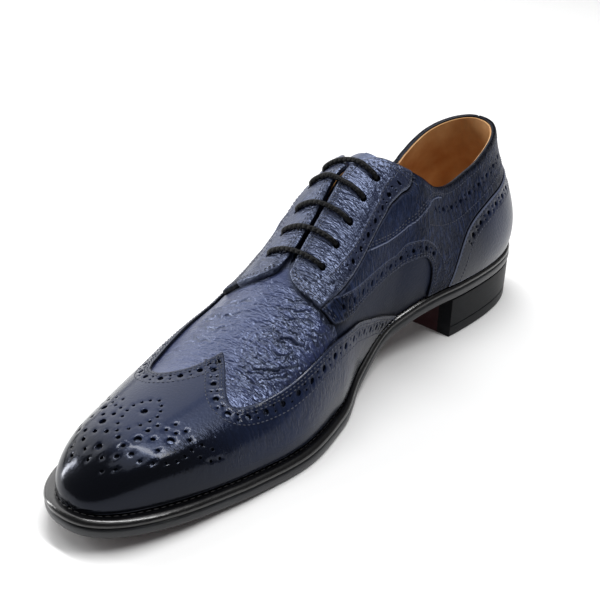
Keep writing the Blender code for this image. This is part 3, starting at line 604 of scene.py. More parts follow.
def edgeMaterial(name, dark, pale, rough, specular, coat=0.0):
    # sole leather cut and inked: satin black with faint trimming marks along the edge
    made, tree, shader, place = newMaterial(name)
    cloud = addNode(tree, "ShaderNodeTexNoise", {"Scale": 60.0, "Detail": 6.0}, {"Vector": place})  # 17 mm
    tint = addNode(tree, "ShaderNodeValToRGB", {"stops": [(0.3, srgb(dark)), (0.75, srgb(pale))]},
                   {"Fac": cloud.outputs["Fac"]})
    tree.links.new(tint.outputs["Color"], shader.inputs["Base Color"])
    squash = addNode(tree, "ShaderNodeMapping", {"Scale": (0.25, 0.25, 2.2)}, {"Vector": place})
    marks = addNode(tree, "ShaderNodeTexNoise", {"Scale": 900.0, "Detail": 3.0},  # 0.5 mm tall, 4.4 mm long
                    {"Vector": squash.outputs[0]})
    bump = addNode(tree, "ShaderNodeBump", {"Strength": 0.35, "Distance": 0.0003}, {"Height": marks.outputs["Fac"]})
    tree.links.new(bump.outputs[0], shader.inputs["Normal"])
    vary = addNode(tree, "ShaderNodeMapRange", {"To Min": rough - 0.06, "To Max": rough + 0.1},
                   {"Value": cloud.outputs["Fac"]})
    tree.links.new(vary.outputs[0], shader.inputs["Roughness"])
    shader.inputs["Specular IOR Level"].default_value = specular
    shader.inputs["Coat Weight"].default_value = coat
    shader.inputs["Coat Roughness"].default_value = 0.15
    return made


def laceMaterial():
    # waxed cotton: black, round, a fine slanting braid under the wax, its grooves painted a touch darker as shade
    made, tree, shader, place = newMaterial("waxedCottonLace")
    along = addNode(tree, "ShaderNodeUVMap", {"uv_map": "braid"}).outputs[0]
    flip = addNode(tree, "ShaderNodeMapping", {"Scale": (1, -1, 1)}, {"Vector": along})
    strands = [addNode(tree, "ShaderNodeTexWave", {"Scale": 1.0, "bands_direction": "DIAGONAL"}, {"Vector": way})
               for way in (along, flip.outputs[0])]
    woven = addNode(tree, "ShaderNodeMath", {"operation": "MAXIMUM"},
                    {k: s.outputs["Fac"] for k, s in enumerate(strands)})
    tint = addNode(tree, "ShaderNodeValToRGB", {"stops": [(0.2, srgb("#020203")), (0.9, srgb("#08090c"))]},
                   {"Fac": woven.outputs[0]})
    tree.links.new(tint.outputs["Color"], shader.inputs["Base Color"])
    bump = addNode(tree, "ShaderNodeBump", {"Strength": 0.6, "Distance": 0.0004}, {"Height": woven.outputs[0]})
    tree.links.new(bump.outputs[0], shader.inputs["Normal"])
    shader.inputs["Roughness"].default_value = 0.5
    shader.inputs["Specular IOR Level"].default_value = 0.14
    return made


def threadMaterial(name, colour):
    # bonded polyester thread: a little shiny, twisted, with painted shade in the twist
    made, tree, shader, place = newMaterial(name)
    twist = addNode(tree, "ShaderNodeTexNoise", {"Scale": 2500.0}, {"Vector": place})  # 0.4 mm
    bump = addNode(tree, "ShaderNodeBump", {"Strength": 0.3, "Distance": 0.0002}, {"Height": twist.outputs["Fac"]})
    tint = addNode(tree, "ShaderNodeValToRGB", {"stops": [(0.35, srgb("#07080c")), (0.8, srgb(colour))]},
                   {"Fac": twist.outputs["Fac"]})
    tree.links.new(tint.outputs["Color"], shader.inputs["Base Color"])
    tree.links.new(bump.outputs[0], shader.inputs["Normal"])
    shader.inputs["Roughness"].default_value = 0.5
    return made


tanLining = liningMaterial()
weltInk = edgeMaterial("inkedWeltLeather", "#040405", "#0b0b0e", 0.22, 0.5, 0.3)
soleInk = edgeMaterial("inkedSoleLeather", "#14161a", "#212429", 0.32, 0.5)
heelInk = edgeMaterial("stackedHeelLeather", "#0a0b0d", "#15171b", 0.4, 0.1)
oxbloodPaint = edgeMaterial("oxbloodSolePaint", "#24070c", "#360c14", 0.4, 0.3)
waxedLace = laceMaterial()
upperThread = threadMaterial("greyBlueThread", "#5b6279")
weltThread = threadMaterial("blackWeltThread", "#0b0b0e")
print("materials made")

# edges of the panels, on the last
wingEdge = [(0, 114, 110), (.06, 127, 121), (.11, 137, 128), (.16, 146, 134), (.27, 161, 147), (.33, 169, 154),
            (.38, 176, 160), (.42, 183, 165), (.445, 191, 169), (.47, 200, 174), (.49, 209, 181), (.51, 216, 191),
            (.53, 221, 204), (.55, 226, 217), (.575, 231, 226), (.60, 234, 231.5), (.65, 236, 236), (.71, 235, 238),
            (.76, 233, 238.5), (.81, 230.5, 237.5), (.86, 227, 235), (.91, 223.5, 231), (1.0, 217, 217)]
archEdge = [
    (98.5, 0), (99.5, 9), (101, 18), (104, 25), (110, 31.5), (118, 34), (127, 35), (143, 38.7), (160, 41.2),
    (182, 44),
]
counterEdge = [
    (0, 43), (10, 42.5), (21, 41), (32, 39), (48, 36.5), (62, 33), (72, 28.5), (79, 22), (83, 14),
    (84.1, 9.5), (84.9, 4.5), (85.5, 0),
]
eyestayEdge = [(112, 0), (116, 8), (121, 16), (128, 24), (134, 28.5), (150, 29), (165, 28), (182, 24)]
swanSeam = [(89, 49), (95, 52.4), (108.8, 55.5), (117.8, 54), (128.2, 53.9), (143.2, 58.3), (152, 61), (158, 62.5)]
# half the gap between the facings, in the vamp and in the lining
slotRows = [(112, 1.3), (150, 1.1), (164, 1.4), (170, 2.0), (174, 2.8), (176, 3.2)]
vampSlot = [(112, 1.7), (150, 1.6), (164, 1.9), (168, 1.9), (173, 0.0)]
liningSlot = [(112, 1.3), (140, 1.2), (150, 2.4), (164, 2.6), (168, 2.4), (173, 0.0)]
# front edge of the facings and quarters, down from the ridge
frontRows = [(0, 173.5), (3, 176.2), (8, 179.6), (15, 181.5), (24, 182), (34, 181.4), (46, 180)]
slotFrom = 112  # station of the collar's front
hem = 0.014  # overlays end this share of the wall above the welt


def slotShare(q, side, gap):  # share of the wall where the slot begins, or 1
    q = np.atleast_1d(np.asarray(q, float))
    out = np.ones(len(q))
    half = tableCurve(gap, 1, q)
    axis = tableCurve(sectionRows, 1, q)
    low = 60  # the steps of the wall below this one never reach the slot
    for k, i in enumerate(stationRow(q)):
        if slotFrom < q[k] < gap[-1][0]:
            away = np.abs(gridP[0 if side > 0 else 1, i, :, 0] - axis[k])
            past = np.nonzero(away[low:] < half[k])[0]
            if len(past):
                j = past[0] + low
                t = (away[j - 1] - half[k]) / max(away[j - 1] - away[j], 1e-9)
                out[k] = gridV[j - 1] + t * (gridV[j] - gridV[j - 1])
    return out


# dye and painted shade on the panels: how dark, shares of the wall, and stations with the run over which it fades;
# the eyestay's crease darkening is painted shade, and the counter's paler back is partly a painted reflection
dyeAndShade = {
    "hemDark": 0.75, "hemTall": 0.17,
    "rimDark": 0.85, "rimLow": 0.955, "rimTall": 0.04, "rimEnd": 116, "rimRun": 6,
    "toeFrom": 210, "toeRun": 62, "toeHigh": 0.72, "toeTall": 0.24, "tipFrom": 270, "tipRun": 19,
    "counterDark": 0.85, "counterFrom": 40, "counterRun": 34, "stayShade": 0.8,
}


def wallBurnish(q, v, side):  # the hem and the collar's rim are dyed darker
    hemDark = dyeAndShade["hemDark"] * ease((dyeAndShade["hemTall"] - v) / dyeAndShade["hemTall"])
    rimEnds = ease((dyeAndShade["rimEnd"] - q) / dyeAndShade["rimRun"])
    rimDark = dyeAndShade["rimDark"] * ease((v - dyeAndShade["rimLow"]) / dyeAndShade["rimTall"]) * rimEnds
    return 1 - (1 - hemDark) * (1 - rimDark)


def toeBurnish(q, v, side):  # nearly black at the toe
    sideDark = ease((q - dyeAndShade["toeFrom"]) / dyeAndShade["toeRun"]) * ease((dyeAndShade["toeHigh"] - v) / dyeAndShade["toeTall"])
    topDark = ease((q - dyeAndShade["tipFrom"]) / dyeAndShade["tipRun"])
    return 1 - (1 - sideDark) * (1 - topDark) * (1 - wallBurnish(q, v, side))


def brogueRow(chart, line, away, row):  # big holes along an edge with small pairs between them
    path = spaced(chart, parallel(chart, line, away), row["step"] / 2)
    holes = []
    for k, p in enumerate(path[1:-1]):
        if k % 2 == 0:
            holes.append((p[0], p[1], row["big"]))
        else:
            tangent = (path[k + 2] - path[k]) * chartScale(chart, p[None])[0]
            tangent /= np.linalg.norm(tangent)
            across = np.array([-tangent[1], tangent[0]]) * row["apart"] / chartScale(chart, p[None])[0]
            holes += [(*(p + across), row["small"]), (*(p - across), row["small"])]
    return holes


stitchLines = []  # points on the leather, in metres
stitching = {"step": 0.8, "lift": 0.02}  # millimetres between points, and over the leather


def stitchAlong(chart, line, way, aways, height, trim=0.0):  # rows to the left of a line, or right if way is -1
    for away in aways:
        path = spaced(chart, parallel(chart, line, away * way), stitching["step"])
        cut = int(trim / stitching["step"])
        path = path[cut:len(path) - cut] if cut else path
        stitchLines.append(toWorld(chartPoint(chart, path, np.full(len(path), height))))


# millimetres; dark and the pale edge highlight are shares, clear is a share of the grid, and the height where the
# highlight stops is a share of the wall; the pale edge highlight is painted
panelSizes = {
    "edgeStep": 1.1, "lip": 0.6, "edgeDrop": 0.45, "holeLip": 0.3, "holeDrop": 0.16, "grid": 1.7, "clear": 0.62,
    "edgeDark": 0.35, "edgeFade": 2.2, "cutDark": 0.95, "edgeGlint": 0.45, "glintBelow": 1.1,
    "beadStep": 0.9, "beadHalf": 0.4, "beadGlint": 0.75, "beadHigh": 0.4, "low": 0.06, "high": 1.6,
}
brogue = {"step": 8.4, "big": 1.3, "small": 0.5, "apart": 1.15, "away": 4.6}

creases = [  # depth, then station and distance from the ridge along each crease; medial is positive
    (0.5, (191.2, 5.7), (189.8, 9.8), (189.0, 14.0), (186.8, 18.3), (185.2, 24.0)),
    (0.85, (197.2, 8.7), (199.5, 14.0), (200.2, 18.2), (198.4, 22.2), (198.0, 26.1), (196.6, 29.5)),
    (0.4, (212.2, 9.9), (213.8, 15.6), (213.0, 19.7), (211.5, 22.8)),
    (0.45, (209.2, 9.5), (210.8, 13.6), (212.2, 16.5)),
    (0.75, (216.0, 8.7), (216.8, 15.7), (215.2, 21.3), (209.2, 26.5), (204.0, 31.7)),
    (0.5, (194.6, 14.6), (196.2, 20.3), (195.2, 27.8)), (0.45, (202.5, 14.8), (204.8, 19.8)),
    (0.5, (207.8, 24.8), (201.8, 25.4)), (0.5, (219.0, 22.0), (213.8, 27.4), (207.8, 31.2)),
    (0.4, (187.5, 20.0), (189.5, 27.0), (188.6, 34.0)), (0.35, (192.6, 22.0), (192.2, 29.0), (190.8, 35.5)),
    (0.45, (186.2, 8.0), (184.6, 15.0), (182.0, 22.0), (180.0, 28.0)),
    (0.4, (184.0, 26.0), (182.6, 32.0), (181.0, 36.0)),
    (0.5, (194.6, 9.0), (193.2, 13.5), (191.2, 18.2), (189.6, 23.0)),
    (0.5, (203.6, 9.0), (202.2, 13.6), (202.4, 18.0), (201.6, 23.0)),
    (0.45, (206.8, 18.0), (206.2, 22.0), (203.6, 28.4)), (0.4, (218.6, 9.5), (219.4, 15.0), (217.6, 21.0)),
    (0.35, (204.4, 6.5), (206.2, 10.8)), (0.35, (221.5, 12.5), (222.0, 18.5), (219.6, 25.0)),
    (0.45, (190.4, -7.0), (192.6, -14.0), (191.6, -24.0)),
    (0.55, (198.2, -8.0), (200.6, -16.0), (198.6, -27.0)),
    (0.4, (206.0, -9.0), (207.8, -16.5), (205.4, -26.0)),
    (0.35, (213.4, -10.0), (214.2, -18.0), (211.0, -25.0)), (0.3, (195.4, -20.0), (194.4, -30.0)),
    (0.3, (202.8, -21.0), (201.2, -31.0)), (0.5, (178.5, 6.5), (177.0, 14.4), (171.8, 22.5), (166.0, 26.5)),
    (0.4, (174.8, 8.7), (173.2, 16.6), (167.5, 23.5)), (0.45, (177.6, -7.0), (175.6, -14.4), (171.0, -21.0)),
    (0.35, (173.6, -9.0), (171.4, -15.6)),
]
# dark and ringDark set the painted shade in the crease bottoms and the ring valleys
creaseLook = {
    "half": 0.5, "deep": 1.0, "dark": 3.2, "ridge": 0.6, "ridgeAt": 2.1, "ridgeWide": 1.1,
    "ringsAt": (206.5, 15.0), "ringMm": 2.5, "ringDeep": 0.15, "ringDark": 0.7, "ringFar": 14.0,
}


def offRidge(q, v, side):  # millimetres from the ridge over the leather, medial positive
    rows = stationRow(q)
    s = np.where(side > 0, 0, 1)
    fj = np.clip(v, 0, 1) * (len(gridV) - 1)
    j = np.minimum(fj.astype(int), len(gridV) - 2)
    arc = gridArc[s, rows, j] * (1 - fj + j) + gridArc[s, rows, j + 1] * (fj - j)
    return (gridArc[s, rows, -1] - arc) * side


def aboveArch(q, v, side):  # millimetres over the leather above the lower edge of the quarters
    whole = gridArc[np.where(side > 0, 0, 1), stationRow(q), -1]
    return whole - np.abs(offRidge(q, v, side)) - tableCurve(archEdge, 1, q)


def creaseRelief(q, v, side):  # height of the creases, and the painted shade in their bottoms and in the valleys of the rings
    look, off = creaseLook, offRidge(q, v, side)
    spot = np.stack([q + 0.5 * np.sin(off * 1.1 + q * 0.4), off + 0.4 * np.sin(q * 1.3)], 1)  # lines waver
    height, dark = np.zeros(len(q)), np.zeros(len(q))
    for deep, *points in creases:
        line = np.array(points)
        distance, along = np.full(len(q), 99.0), np.zeros(len(q))
        for k, (a, b) in enumerate(zip(line[:-1], line[1:])):
            t = np.clip((spot - a) @ (b - a) / ((b - a) @ (b - a)), 0, 1)
            d = np.linalg.norm(spot - a - t[:, None] * (b - a), axis=1)
            along = np.where(d < distance, (k + t) / (len(line) - 1), along)
            distance = np.minimum(distance, d)
        fade = deep * (0.25 + 0.75 * np.sin(math.pi * np.clip(along, 0, 1)) ** 0.7)
        d = distance / look["half"]
        ridge = look["ridge"] * np.exp(-((d - look["ridgeAt"]) / look["ridgeWide"]) ** 2)
        height += fade * look["deep"] * (ridge - np.exp(-d * d))
        dark = np.maximum(dark, np.minimum(fade * look["dark"], 1.0) * np.exp(-(d * 1.2) ** 2))
    away = np.linalg.norm((spot - look["ringsAt"]) * (1.0, 0.8), axis=1)
    near = ease((away - 2) / 4) * ease((look["ringFar"] - away) / 5)
    rings = np.cos(2 * math.pi * away / look["ringMm"]) * near
    dark = np.maximum(dark, look["ringDark"] * np.clip(-rings, 0, 1) ** 3)
    return height + look["ringDeep"] * rings, dark


def capWear(q, v, side):  # fine wrinkles on the sides of the wing, none at the hem, the top or the tip
    upDown = ease((v - 0.08) / 0.12) * ease((0.66 - v) / 0.2)
    return 0.85 * upDown * ease((q - 130) / 40) * ease((288 - q) / 30)


# wing cap
wing = {"high": 1.6, "stitches": (1.5, 2.8, 7.9), "hemFrom": 118, "tipEnd": 301.985, "medalAxis": -1.0}
medallion = [  # station, distance from the middle line, hole radius
    (261.8, 0, 1.5), (266.2, 18.6, 1.5), (274.8, 9.7, 1.55), (285.5, 0, 1.55),
    (269.2, 9.4, .98), (270.9, 13.8, .98), (278.6, 3.2, .98), (280.4, 7.8, .98), (281, 12.8, .98), (285, 9.2, .98),
    (253.5, 0, .74), (255.4, 3.1, .74), (258, 5.2, .74), (261.2, 6.6, .74), (265, 6.3, .74), (268.8, 5.0, .74),
    (273, 3.0, .74), (276.2, 0, .74), (264.8, 10.2, .74), (264, 14, .74), (259.5, 14.6, .74), (258.8, 19.4, .74),
    (262.4, 17.6, .74), (260.2, 22.9, .74), (257.2, 27, .74), (254.2, 30.8, .74), (252.8, 35.4, .74),
    (256.6, 34, .74), (260.2, 30.2, .74), (261.9, 26, .74), (265.6, 26.2, .74), (269.4, 25.6, .74),
    (273.4, 23.6, .74), (277.4, 20.6, .74), (280.6, 17, .74), (272.8, 18.4, .74), (288.4, 4.6, .74),
    (288.6, 12.2, .74), (291.2, 0, .74), (291.8, 8.2, .74),
]
shareList = np.linspace(hem, 1, 160)
wingLine = np.vstack([toChart("front", tableCurve(wingEdge, 1, shareList), shareList, 1),
                      toChart("front", tableCurve(wingEdge, 2, shareList[-2::-1]), shareList[-2::-1], -1)])
hemQ = np.concatenate([np.linspace(wing["hemFrom"], toeFrom, 150), toeStations(60, 0.01, wing["tipEnd"])])
lateralHem = toChart("front", hemQ[hemQ > tableCurve(wingEdge, 2, hem) + 1], hem, -1)
medialHem = toChart("front", hemQ[hemQ > tableCurve(wingEdge, 1, hem) + 1], hem, 1)[::-1]
tipAcross = np.linspace(-0.9, 0.9, 9)
tipLine = toChart("front", wing["tipEnd"], 1 - np.abs(tipAcross), signOf(tipAcross))
wingHoles = brogueRow("front", wingLine, brogue["away"], brogue)
for q, off, r in medallion:
    for way in ((1, -1) if off else (1,)):
        place = wing["medalAxis"] + off * way
        side = 1 if place >= 0 else -1
        spot = toChart("front", q, shareUp(q, side, -max(abs(place), 0.01))[0], side)
        wingHoles.append((spot[0], spot[1], r))
wingCap = punchedPanel("wingCap", "front", np.vstack([wingLine, lateralHem, tipLine, medialHem]), wingHoles,
                       dict(panelSizes, high=wing["high"], grid=1.6, edgeGlint=0.1, lip=0.4, edgeDrop=0.3),
                       capCalf, None, toeBurnish, capWear)
stitchAlong("front", wingLine, 1, wing["stitches"], wing["high"] + stitching["lift"])
print("wing cap done", len(wingCap.data.polygons))

# quarters, eyestays and counter
quarter = {
    "high": 1.6, "seam": 0.35, "lift": 0.9, "liftFrom": 168, "liftRun": 13,
    "archHoles": 5.0, "collarHoles": 5.4, "archBead": 9.3, "beadStrength": 0.4,
    "archStitches": (1.4, 2.6, 8.6), "collarStitches": (1.8, 8.8), "swanStitches": (1.3, 2.5),
    "frontStitches": (1.5, 2.8),
}
eyestay = {
    "high": 2.0, "reach": 15.0, "holeRadius": 1.75, "lastRow": 169.0, "rowStep": 9.8, "rows": 5,
    "rearHoles": 3.6, "rearBead": 7.4, "rearStitches": (0.9, 6.6), "slotStitches": (2.0, 3.3),
}
counter = {"high": 1.9, "end": 85.2, "holes": 4.4, "stitches": (1.3, 7.8)}
collarRow = dict(brogue, step=8.8, big=1.15)
archRow = dict(brogue, step=8.2, big=1.2)
eyestayRow = dict(brogue, step=7.6, big=1.15, apart=1.05)


def rowStation(k):  # station of a row of eyelets, counted from the toe
    return eyestay["lastRow"] - eyestay["rowStep"] * k


def eyeletShare(q, side, reach):  # share of the wall at a reach from the middle, over the leather
    opening = tableCurve(sectionRows, sectionNames.index("openMedial" if side > 0 else "openLateral"), q)
    return shareUp(q, side, -(reach - opening))[0]


def line(side, q, v):
    return toChart("wrap", q, v, side)


def frontEdge(side, down):  # along the front edge, at distances from the ridge
    q = tableCurve(frontRows, 1, down)
    return line(side, q, shareUp(q, side, -down))


def frontLift(q, v, side):  # the flap stands off the vamp at its front edge
    return quarter["lift"] * ease((q - quarter["liftFrom"]) / quarter["liftRun"]) + creaseRelief(q, v, side)[0]


def stayCreaseShade(q, v, side):
    # painted shade in the eyestay's creases
    return dyeAndShade["stayShade"] * creaseRelief(q, v, side)[1]


def quarterWear(q, v, side):  # drawn at the heel and at the flap's front, calmer between
    worn = 0.8 - 0.3 * ease((q - 112) / 10) + 0.4 * ease((q - 152) / 20)
    return worn * (0.25 + 0.75 * ease((q - 6) / 22))  # the back seam is pulled smooth


pieces = []
for side, word in ((1, "Medial"), (-1, "Lateral")):
    backQ = np.linspace(0.08, counterEdge[-1][0] + 0.4, 70)
    onCounter = np.maximum(shareUp(backQ, side, tableCurve(counterEdge, 1, backQ - 0.4) + quarter["seam"]), hem)
    waistQ = np.linspace(86.2, 98.4, 8)
    archQ = np.concatenate([np.linspace(98.5, 104, 40), np.linspace(104.5, 181.0, 70)])
    onArch = np.maximum(shareUp(archQ, side, tableCurve(archEdge, 1, archQ)), hem)
    eyeQ = np.linspace(113.2, 181.9, 80)
    onEye = shareUp(eyeQ, side, -tableCurve(eyestayEdge, 1, eyeQ + 0.3) - quarter["seam"])
    collarQ = np.linspace(0.08, 112.4, 90)
    archLine = line(side, archQ, onArch)
    collarLine = line(side, collarQ, np.ones(len(collarQ)))
    depth = gridArc[0 if side > 0 else 1, int(np.searchsorted(gridQ, 181)), -1] - archEdge[-1][1]
    down = np.linspace(depth - 0.6, tableCurve(eyestayEdge, 1, 182) + 0.8, 9)
    frontPart = frontEdge(side, down)
    outline = np.vstack([line(side, backQ, onCounter), line(side, waistQ, np.full(8, hem)), archLine, frontPart,
                         line(side, eyeQ[::-1], onEye[::-1]), collarLine[::-1]])
    archPart = archLine[(archQ > 103.5) & (archQ < 179)]
    collarPart = collarLine[(collarQ > 6) & (collarQ < 104)]
    holes = brogueRow("wrap", archPart, quarter["archHoles"] * side, archRow)
    holes += brogueRow("wrap", collarPart, -quarter["collarHoles"] * side, collarRow)
    swanQ = np.linspace(90, 158, 60)
    swanLine = line(side, swanQ, shareUp(swanQ, side, tableCurve(swanSeam, 1, swanQ)))
    archBead = parallel("wrap", archPart[4:], quarter["archBead"] * side)
    piece = punchedPanel("quarter" + word, "wrap", outline, holes,
                         dict(panelSizes, high=quarter["high"], edgeGlint=0.12, glintBelow=0.95), quarterCalf,
                         frontLift, wallBurnish, quarterWear,
                         [(swanLine[2:-4], 1.0), (archBead, quarter["beadStrength"])])
    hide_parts("quarter_" + word.lower())
    pieces.append((piece, "navy_grain"))
    sewnAt = quarter["high"] + stitching["lift"]
    stitchAlong("wrap", archLine[2:], side, quarter["archStitches"], sewnAt)
    stitchAlong("wrap", collarLine[4:-4], -side, quarter["collarStitches"], sewnAt)
    stitchAlong("wrap", swanLine, side, quarter["swanStitches"], sewnAt)

    stayQ = np.linspace(112.6, 181.8, 90)
    rear = shareUp(stayQ, side, -np.maximum(tableCurve(eyestayEdge, 1, stayQ), 0.05))
    rearLine = line(side, stayQ, rear)
    slotQ = np.linspace(112.6, 173.0, 80)
    slotLine = line(side, slotQ, slotShare(slotQ, side, slotRows))
    down = np.linspace(tableCurve(eyestayEdge, 1, 182) - 0.4, 3.4, 24)
    frontLine = frontEdge(side, down)
    outline = np.vstack([rearLine, frontLine, slotLine[::-1]])
    holes = brogueRow("wrap", rearLine[(stayQ > 117) & (stayQ < 166)], eyestay["rearHoles"] * side, eyestayRow)
    for k in range(eyestay["rows"]):
        q = rowStation(k)
        spot = line(side, q, eyeletShare(q, side, eyestay["reach"]))
        holes.append((spot[0], spot[1], eyestay["holeRadius"]))
    rearBead = parallel("wrap", rearLine[12:-12], eyestay["rearBead"] * side)
    piece = punchedPanel("eyestay" + word, "wrap", outline, holes,
                         dict(panelSizes, high=eyestay["high"], grid=1.0, edgeGlint=0.08), shrunkenCalf,
                         frontLift, stayCreaseShade, quarterWear, [(rearBead, quarter["beadStrength"])])
    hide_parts("eyestay_" + word.lower())
    pieces.append((piece, "navy_grain"))
    sewnAt = eyestay["high"] + stitching["lift"]
    stitchAlong("wrap", rearLine, side, eyestay["rearStitches"], sewnAt, 2.0)
    stitchAlong("wrap", slotLine, -side, eyestay["slotStitches"], sewnAt, 2.0)
    for away in quarter["frontStitches"]:  # along the lifted front edge
        stitchAlong("wrap", frontLine, side, [away], eyestay["high"] + quarter["lift"] * 0.93, 1.0)
        stitchAlong("wrap", frontPart, side, [away], quarter["high"] + quarter["lift"] * 0.97, 1.0)
print("quarters and eyestays done")


def counterDarkFront(q, v, side):  # dark in front and paler at the back; the paler back is partly a painted reflection
    ahead = dyeAndShade["counterDark"] * ease((q - dyeAndShade["counterFrom"]) / dyeAndShade["counterRun"])
    return 1 - (1 - wallBurnish(q, v, side)) * (1 - ahead)


counterQ = np.linspace(-counter["end"], counter["end"], 180)
counterSide = signOf(counterQ)
counterV = np.array([shareUp(abs(q), side, tableCurve(counterEdge, 1, abs(q)))[0]
                     for q, side in zip(counterQ, counterSide)])
counterLine = toChart("wrap", np.abs(counterQ), np.maximum(counterV, hem + 0.01), counterSide)
hemLine = toChart("wrap", np.abs(counterQ), hem, counterSide)
counterHoles = brogueRow("wrap", counterLine[6:-6], -counter["holes"], dict(brogue, step=8.6, big=1.2))
heelCounter = punchedPanel("heelCounter", "wrap", np.vstack([counterLine, hemLine[::-1]]), counterHoles,
                           dict(panelSizes, high=counter["high"]), counterCalf, None, counterDarkFront)
stitchAlong("wrap", counterLine, -1, counter["stitches"], counter["high"] + stitching["lift"], 2.0)
print("counter done")

# vamp and lining: the hollow upper itself
vamp = {
    "skin": 1.0, "stationStep": 0.5, "shareSplit": 0.45, "lowSteps": 20, "highSteps": 92,
    "wornFrom": 176, "wornEnd": 240, "creasedEnd": 232, "waist": (166.0, 180.6), "waistTop": 0.056,
}


def vampWear(q, v, side):  # more folds on the medial half
    off = offRidge(q, v, side)
    worn = np.where(off > 0, 0.5 + 0.5 * ease((off - 4) / 10), 0.5)
    return worn * ease((q - vamp["wornFrom"]) / 6) * ease((vamp["wornEnd"] - q) / 16)


def vampRelief(q, v, side):
    creased = (q > vamp["wornFrom"]) & (q < vamp["creasedEnd"])
    return np.where(creased, creaseRelief(q, v, side)[0], 0.0)


def vampDyeAndShade(q, v, side):  # bare vamp in front of the quarters: painted shade where panels lie over it and just ahead of their front edges, under the wing and in the creases, over the dyed hem and rim
    off = np.abs(offRidge(q, v, side))
    ahead = q - tableCurve(frontRows, 1, off)
    covered = np.where(off < 52, ease((2.6 - ahead) / 2.6) * ease((q - 150) / 10), 0.0)
    covered = covered * ease((aboveArch(q, v, side) + 2.5) / 2.5)
    # painted shade under the wing, starting just behind its edge
    wingAt = np.where(side > 0, tableCurve(wingEdge, 1, v), tableCurve(wingEdge, 2, v))
    underWing = ease((q - wingAt + 0.6) / 1.6)
    return np.maximum.reduce([covered, underWing, wallBurnish(q, v, side), creaseRelief(q, v, side)[1]])


def shellPiece(name, stations, shares, gap, heights, finish, tints):
    # outer and inner skin share their seams: heel back, closed ridge and tip
    rows, columns = len(stations), len(shares)
    closed = stations >= gap[-1][0]
    ids, verts, faces = {}, [], []
    values = {key: [] for key in tints}

    def vertexId(layer, side, r, k):
        if r == rows - 1:
            return ids[(layer, 0, r, 0)]
        shared = r == 0 or (k == columns - 1 and closed[r])
        return ids[(layer, 0 if shared else side, r, k)]
    for layer, heightOf in enumerate(heights):
        for side in (1, -1):
            v = np.outer(slotShare(stations, side, gap), shares)
            q = np.repeat(stations[:, None], columns, 1)
            flatSide = np.full(q.size, side)
            h = heightOf(q.ravel(), v.ravel(), flatSide).reshape(q.shape)
            points = toWorld(skinAt(q, v, side, h))
            tint = {key: maker(q.ravel(), v.ravel(), flatSide).reshape(q.shape) for key, maker in tints.items()}
            for r in range(rows):
                for k in range(columns):
                    shared = r in (0, rows - 1) or (k == columns - 1 and closed[r])
                    key = (layer, 0 if shared else side, r, 0 if r == rows - 1 else k)
                    if key not in ids:
                        ids[key] = len(verts)
                        verts.append(points[r, k])
                        for word in tints:
                            values[word].append(tint[word][r, k])
            for r in range(rows - 1):
                for k in range(columns - 1):
                    corners = ((r, k), (r, k + 1), (r + 1, k + 1), (r + 1, k))
                    face = tuple(dict.fromkeys(vertexId(layer, side, *c) for c in corners))
                    faces.append(face if (side > 0) == (layer == 0) else face[::-1])
    for side in (1, -1):
        for r in range(rows - 1):
            for k, isOpen in ((columns - 1, not (closed[r] and closed[r + 1])), (0, True)):
                if isOpen:
                    a, b = vertexId(0, side, r, k), vertexId(0, side, r + 1, k)
                    c, d = vertexId(1, side, r + 1, k), vertexId(1, side, r, k)
                    faces.append(tuple(dict.fromkeys((a, b, c, d))))
    return turnOutward(addObject(name, verts, faces, [finish], values))


def flatAt(height):
    return lambda q, v, side: np.full(len(q), height)


backStations = np.concatenate([np.linspace(0, 60, 25), np.arange(63, 112, 3.5)])
stations = np.concatenate([backStations, np.arange(112, 176, 2.0), np.arange(176, 183, 1.4),
                           np.arange(183, 233, vamp["stationStep"]), np.arange(233, 240, 1.4),
                           np.arange(240, toeFrom, 3), toeStations(14)])  # closest where it is creased
shares = np.concatenate([np.linspace(0, vamp["shareSplit"], vamp["lowSteps"])[:-1],
                         np.linspace(vamp["shareSplit"], 1, vamp["highSteps"])])
upperSkin = shellPiece("vampAndQuarters", stations, shares, vampSlot, (vampRelief, flatAt(-vamp["skin"])),
                       vampCalf, {"burnishAndShade": vampDyeAndShade, "wear": vampWear})
liningStations = np.concatenate([backStations, np.arange(112, 176, 1.5), np.arange(176, toeFrom, 5),
                                 toeStations(12)])
lining = shellPiece("lining", liningStations, np.linspace(0, 0.988, 36), liningSlot,
                    (flatAt(-vamp["skin"] - 0.02), flatAt(-last["wall"])), tanLining, {})
upperSkin.data.materials.append(waistCalf)
waistFrom = toWorld(np.array([[0.0, q, 0.0] for q in vamp["waist"]]))[:, 1]
for f in upperSkin.data.polygons:  # below the quarters the leather is smooth
    f.material_index = int(f.center.y > waistFrom[1 if f.center.z < vamp["waistTop"] else 0])
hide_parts("upper")
pieces += [(upperSkin, "navy_grain"), (lining, "lining")]
print("upper done", len(upperSkin.data.polygons))

